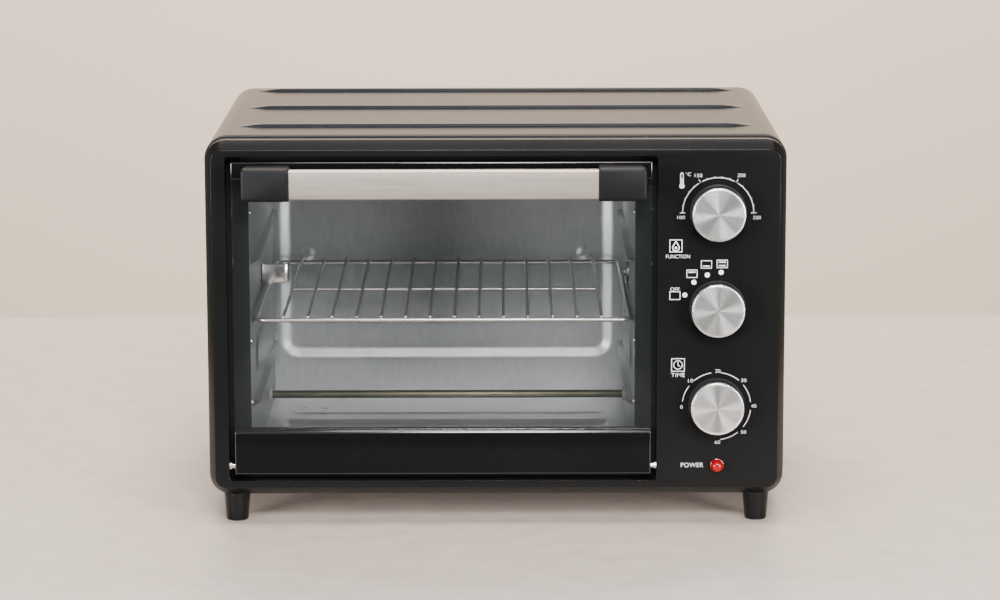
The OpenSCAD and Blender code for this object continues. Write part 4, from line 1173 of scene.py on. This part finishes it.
loop = node("GeometryNodeCurvePrimitiveQuadrilateral", Width=rack_in.outputs["Width"],
            Height=rack_in.outputs["Depth"])
bent = node("GeometryNodeFilletCurve", "POLY", Curve=loop.outputs["Curve"],
            Radius=rack_in.outputs["Corner"], Count=8)
frame_wire = wire_along(bent.outputs["Curve"], rack_in.outputs["Frame_Radius"], 16)
half_run = sum_of("MULTIPLY", sum_of("MULTIPLY", sum_of("SUBTRACT", rack_in.outputs["Wires"], 1),
                                     rack_in.outputs["Pitch"]), 0.5)
first_x = sum_of("MULTIPLY", half_run, -1)
first_spot = node("ShaderNodeCombineXYZ", X=first_x, Z=rack_in.outputs["Rise"])
step = node("ShaderNodeCombineXYZ", X=rack_in.outputs["Pitch"])
spots = node("GeometryNodeMeshLine", Count=rack_in.outputs["Wires"],
             Start_Location=first_spot.outputs[0], Offset=step.outputs[0])
half_depth = sum_of("ADD", sum_of("MULTIPLY", rack_in.outputs["Depth"], 0.5),
                    rack_in.outputs["Overhang"])
wire_start = node("ShaderNodeCombineXYZ", Y=sum_of("MULTIPLY", half_depth, -1))
wire_end = node("ShaderNodeCombineXYZ", Y=half_depth)
cross_line = node("GeometryNodeCurvePrimitiveLine", Start=wire_start.outputs[0],
                  End=wire_end.outputs[0])
cross_wire = wire_along(cross_line.outputs["Curve"], rack_in.outputs["Wire_Radius"])
cross_wires = node("GeometryNodeInstanceOnPoints", Points=spots.outputs["Mesh"],
                   Instance=cross_wire)
run_end = sum_of("ADD", half_run, 0.001)
middle_z = sum_of("SUBTRACT", rack_in.outputs["Frame_Radius"], rack_in.outputs["Wire_Radius"])
middle_start = node("ShaderNodeCombineXYZ", X=sum_of("MULTIPLY", run_end, -1), Z=middle_z)
middle_end = node("ShaderNodeCombineXYZ", X=run_end, Z=middle_z)
middle_line = node("GeometryNodeCurvePrimitiveLine", Start=middle_start.outputs[0],
                   End=middle_end.outputs[0])
middle_wire = wire_along(middle_line.outputs["Curve"], rack_in.outputs["Wire_Radius"])
bead = node("GeometryNodeMeshIcoSphere", Radius=sum_of("MULTIPLY", rack_in.outputs["Wire_Radius"],
                                                       1.12), Subdivisions=2)
weld_ends = []
for end_socket in (wire_start, wire_end):
    beads_here = node("GeometryNodeSetPosition", Geometry=spots.outputs["Mesh"],
                      Offset=end_socket.outputs[0])
    weld_ends.append(node("GeometryNodeInstanceOnPoints", Points=beads_here.outputs["Geometry"],
                          Instance=bead.outputs["Mesh"]).outputs["Instances"])
all_wires = tree_nodes.new("GeometryNodeJoinGeometry")
for part in (frame_wire, cross_wires.outputs["Instances"], middle_wire, *weld_ends):
    tree_links.new(part, all_wires.inputs[0])
tree_links.new(all_wires.outputs[0], rack_end.inputs[0])
loop_x0 = rack_x0 + frame_r
loop_x1 = rack_x1 - frame_r
overhang = 0.6
loop_y0 = rack_y0 + frame_r
loop_y1 = rack_y1 - frame_r
wires = int((loop_x1 - loop_x0 - 40) // rack_pitch) + 1
rack = grow("rack_wires", rack_tree, Width=(loop_x1 - loop_x0) * MM,
            Depth=(loop_y1 - loop_y0) * MM, Corner=rack_corner * MM, Frame_Radius=frame_r * MM,
            Wire_Radius=wire_r * MM, Pitch=rack_pitch * MM, Wires=wires,
            Rise=(frame_r + wire_r - 0.4) * MM, Overhang=overhang * MM)
rack_middle = at((loop_x0 + loop_x1) / 2, (loop_y0 + loop_y1) / 2, rack_z0 + frame_r)
for v in rack.data.vertices:
    v.co += rack_middle
fit(rack, chrome, "rack", "rack_chrome", "wire_rack")


# ---- Controls behind the panel ----
# A thermostat in a ceramic body, a rotary switch in brown phenolic, and a clockwork timer in
# a plated case with a brass bell. Plated shafts come forward through the panel.

phenolic = finish("brown_phenolic", (0.085, 0.055, 0.035), 0.45, grain=350, shade=0.3, bump=0.1)
timer_case = finish("timer_case", (0.55, 0.56, 0.57), 0.28, 1.0, grain=500, shade=0.1)
brass = finish("bell_brass", (0.60, 0.44, 0.18), 0.25, 1.0, grain=400, shade=0.12)
paint(ceramic, "thermostat", "terminal_block")
paint(phenolic, "function_switch")
paint(timer_case, "timer")
paint(brass, "timer_bell")
paint(bright_steel, "thermostat_shaft", "function_shaft", "timer_shaft")


# ---- Knobs ----
# Each knob is a black moulded cup with a thin flange at the panel. A cap of spun aluminium is
# pressed over its front, with a turned face, a polished edge and a small dash as its pointer.

knob_plastic = finish("knob_plastic", (0.008, 0.008, 0.008), 0.4, grain=1000, shade=0.15,
                      bump=0.06, specular=0.2)
dash_grey = finish("pointer_grey", (0.20, 0.20, 0.21), 0.5, grain=1500, shade=0.1)


def spun_face(name, x, z):
    """Bright aluminium turned on a lathe: fine rings about the axis at x, z that spread the
    light across them."""
    material = finish(name, (0.96, 0.95, 0.93), 0.2, 0.94, grain=700, shade=0.03, spread=0.03,
                      bump=0.02)
    nodes = material.node_tree.nodes
    links = material.node_tree.links
    shader = nodes["Principled BSDF"]
    shader.inputs["Anisotropic"].default_value = 0.93
    around = nodes.new("ShaderNodeTangent")
    around.direction_type = "RADIAL"
    around.axis = "Y"
    links.new(around.outputs["Tangent"], shader.inputs["Tangent"])
    place = nodes.new("ShaderNodeTexCoord")
    centre = nodes.new("ShaderNodeMapping")
    centre.inputs["Location"].default_value = (-x * MM, 0, -z * MM)
    centre.inputs["Scale"].default_value = (1, 0, 1)
    rings = nodes.new("ShaderNodeTexWave")
    rings.wave_type = "RINGS"
    rings.rings_direction = "SPHERICAL"
    rings.inputs["Scale"].default_value = 900
    rings.inputs["Distortion"].default_value = 0.6
    links.new(place.outputs["Object"], centre.inputs["Vector"])
    links.new(centre.outputs["Vector"], rings.inputs["Vector"])
    links.new(rings.outputs["Fac"], nodes["height"].inputs["Height"])
    nodes["height"].inputs["Strength"].default_value = 0.05
    nodes["height"].inputs["Distance"].default_value = 0.00005
    return material


for dial, box, (x, z) in zip(("thermostat", "function", "timer"), knob_boxes, knob_spots):
    flange_r = (box[3] - box[0]) / 2
    r = flange_r - 1.1
    tall = -edges(dial + "_knob_cap")[1]
    front = tall - 0.85
    inner = r - 0.85
    step = tall - 3
    cup = [(3.03, -2.2), (6, -2.2), (6, -(front - 3)), (inner - 2.2, -(front - 3)),
           (r - 2.2, -1.2), (flange_r - 0.2, -1.2), (flange_r, -1.5), (flange_r, -2.2),
           (flange_r - 0.3, -2.6), (r + 0.1, -2.7), (r - 0.1, -3), (r - 0.4, -step),
           (inner, -step), (inner, -(front - 1.2)), (inner - 1.2, -front), (0, -front),
           (0, -(tall - 6.7)), (3.03, -(tall - 6.7))]
    knob = lathe(dial + "_knob_cup", cup + [cup[0]], (x, 0, z), "y", 96)
    fit(knob, knob_plastic, dial + "_dial", "knob_plastic", dial + "_knob")
    cap = [(0, -tall + 0.8), (inner - 1.15, -tall + 0.8), (inner + 0.05, -tall + 2),
           (inner + 0.05, -step),
           (inner + 0.15, -step + 0.1), (r - 0.1, -step + 0.1), (r, -step), (r, -tall + 1.5),
           (r - 0.1, -tall + 0.9), (r - 0.7, -tall + 0.1), (r - 0.9, -tall), (r - 1.9, -tall),
           (r - 2.0, -tall + 0.2), (r - 2.2, -tall + 0.2), (r - 2.3, -tall + 0.05),
           (r * 0.5, -tall + 0.09), (0, -tall + 0.12)]
    spun = lathe(dial + "_cap_shell", cap, (x, 0, z), "y", 128)
    fit(spun, spun_face("spun_aluminium_" + dial, x, z), dial + "_dial", "knob_metal",
        dial + "_knob_cap")
    dash = loft(dial + "_pointer", [round_loop(x - r * 0.77, z - 0.6, x - r * 0.52, z + 0.6, 0.55,
                                               y, 4) for y in (-tall + 0.25, -tall)])
    close_ends(dash)
    fit(dash, dash_grey, dial + "_dial", "knob_plastic")


# ---- Pilot lamp ----
# A faceted dome of clear red plastic snaps into the panel over a small neon lamp.

lens_red = finish("red_lens", (0.20, 0.0005, 0.002), 0.16, grain=400, shade=0.3, spread=0.04,
                  specular=0.35)
lens_r = (lens_box[3] - lens_box[0]) / 2
dome = [(2.9, 12), (4.3, 12), (4.3, 0), (lens_r - 0.1, -0.02), (lens_r, -0.4), (lens_r - 0.05, -1),
        (lens_r - 0.5, -1.2), (lens_r - 0.55, -3.5), (lens_r - 0.9, -4.8), (lens_r - 1.6, -5.9),
        (lens_r - 2.7, -6.7), (lens_r - 4, -7.1), (0, -7.2), (0, -1.5), (2.9, -1)]
lens = lathe("pilot_dome", dome + [dome[0]], (lens_x, 0, lens_z), "y", 48)
fit(lens, lens_red, "oven", "lens_red", "pilot_lens")
neon = finish("neon_lamp", (0.75, 0.30, 0.10), 0.1, grain=300, shade=0.1)
paint(neon, "pilot_lamp")


# ---- Wiring and cord gland ----
# Heat-proof braided leads run from a ceramic terminal block to the controls. A black rubber
# gland in the back panel is where the mains cord goes in.

braid = finish("braided_insulation", (0.30, 0.045, 0.035), 0.75, grain=2200, shade=0.35, bump=0.3)
paint(braid, "internal_wires")
gland_rubber = finish("gland_rubber", (0.018, 0.018, 0.018), 0.6, grain=800, shade=0.15, bump=0.1)
paint(gland_rubber, "cord_gland")
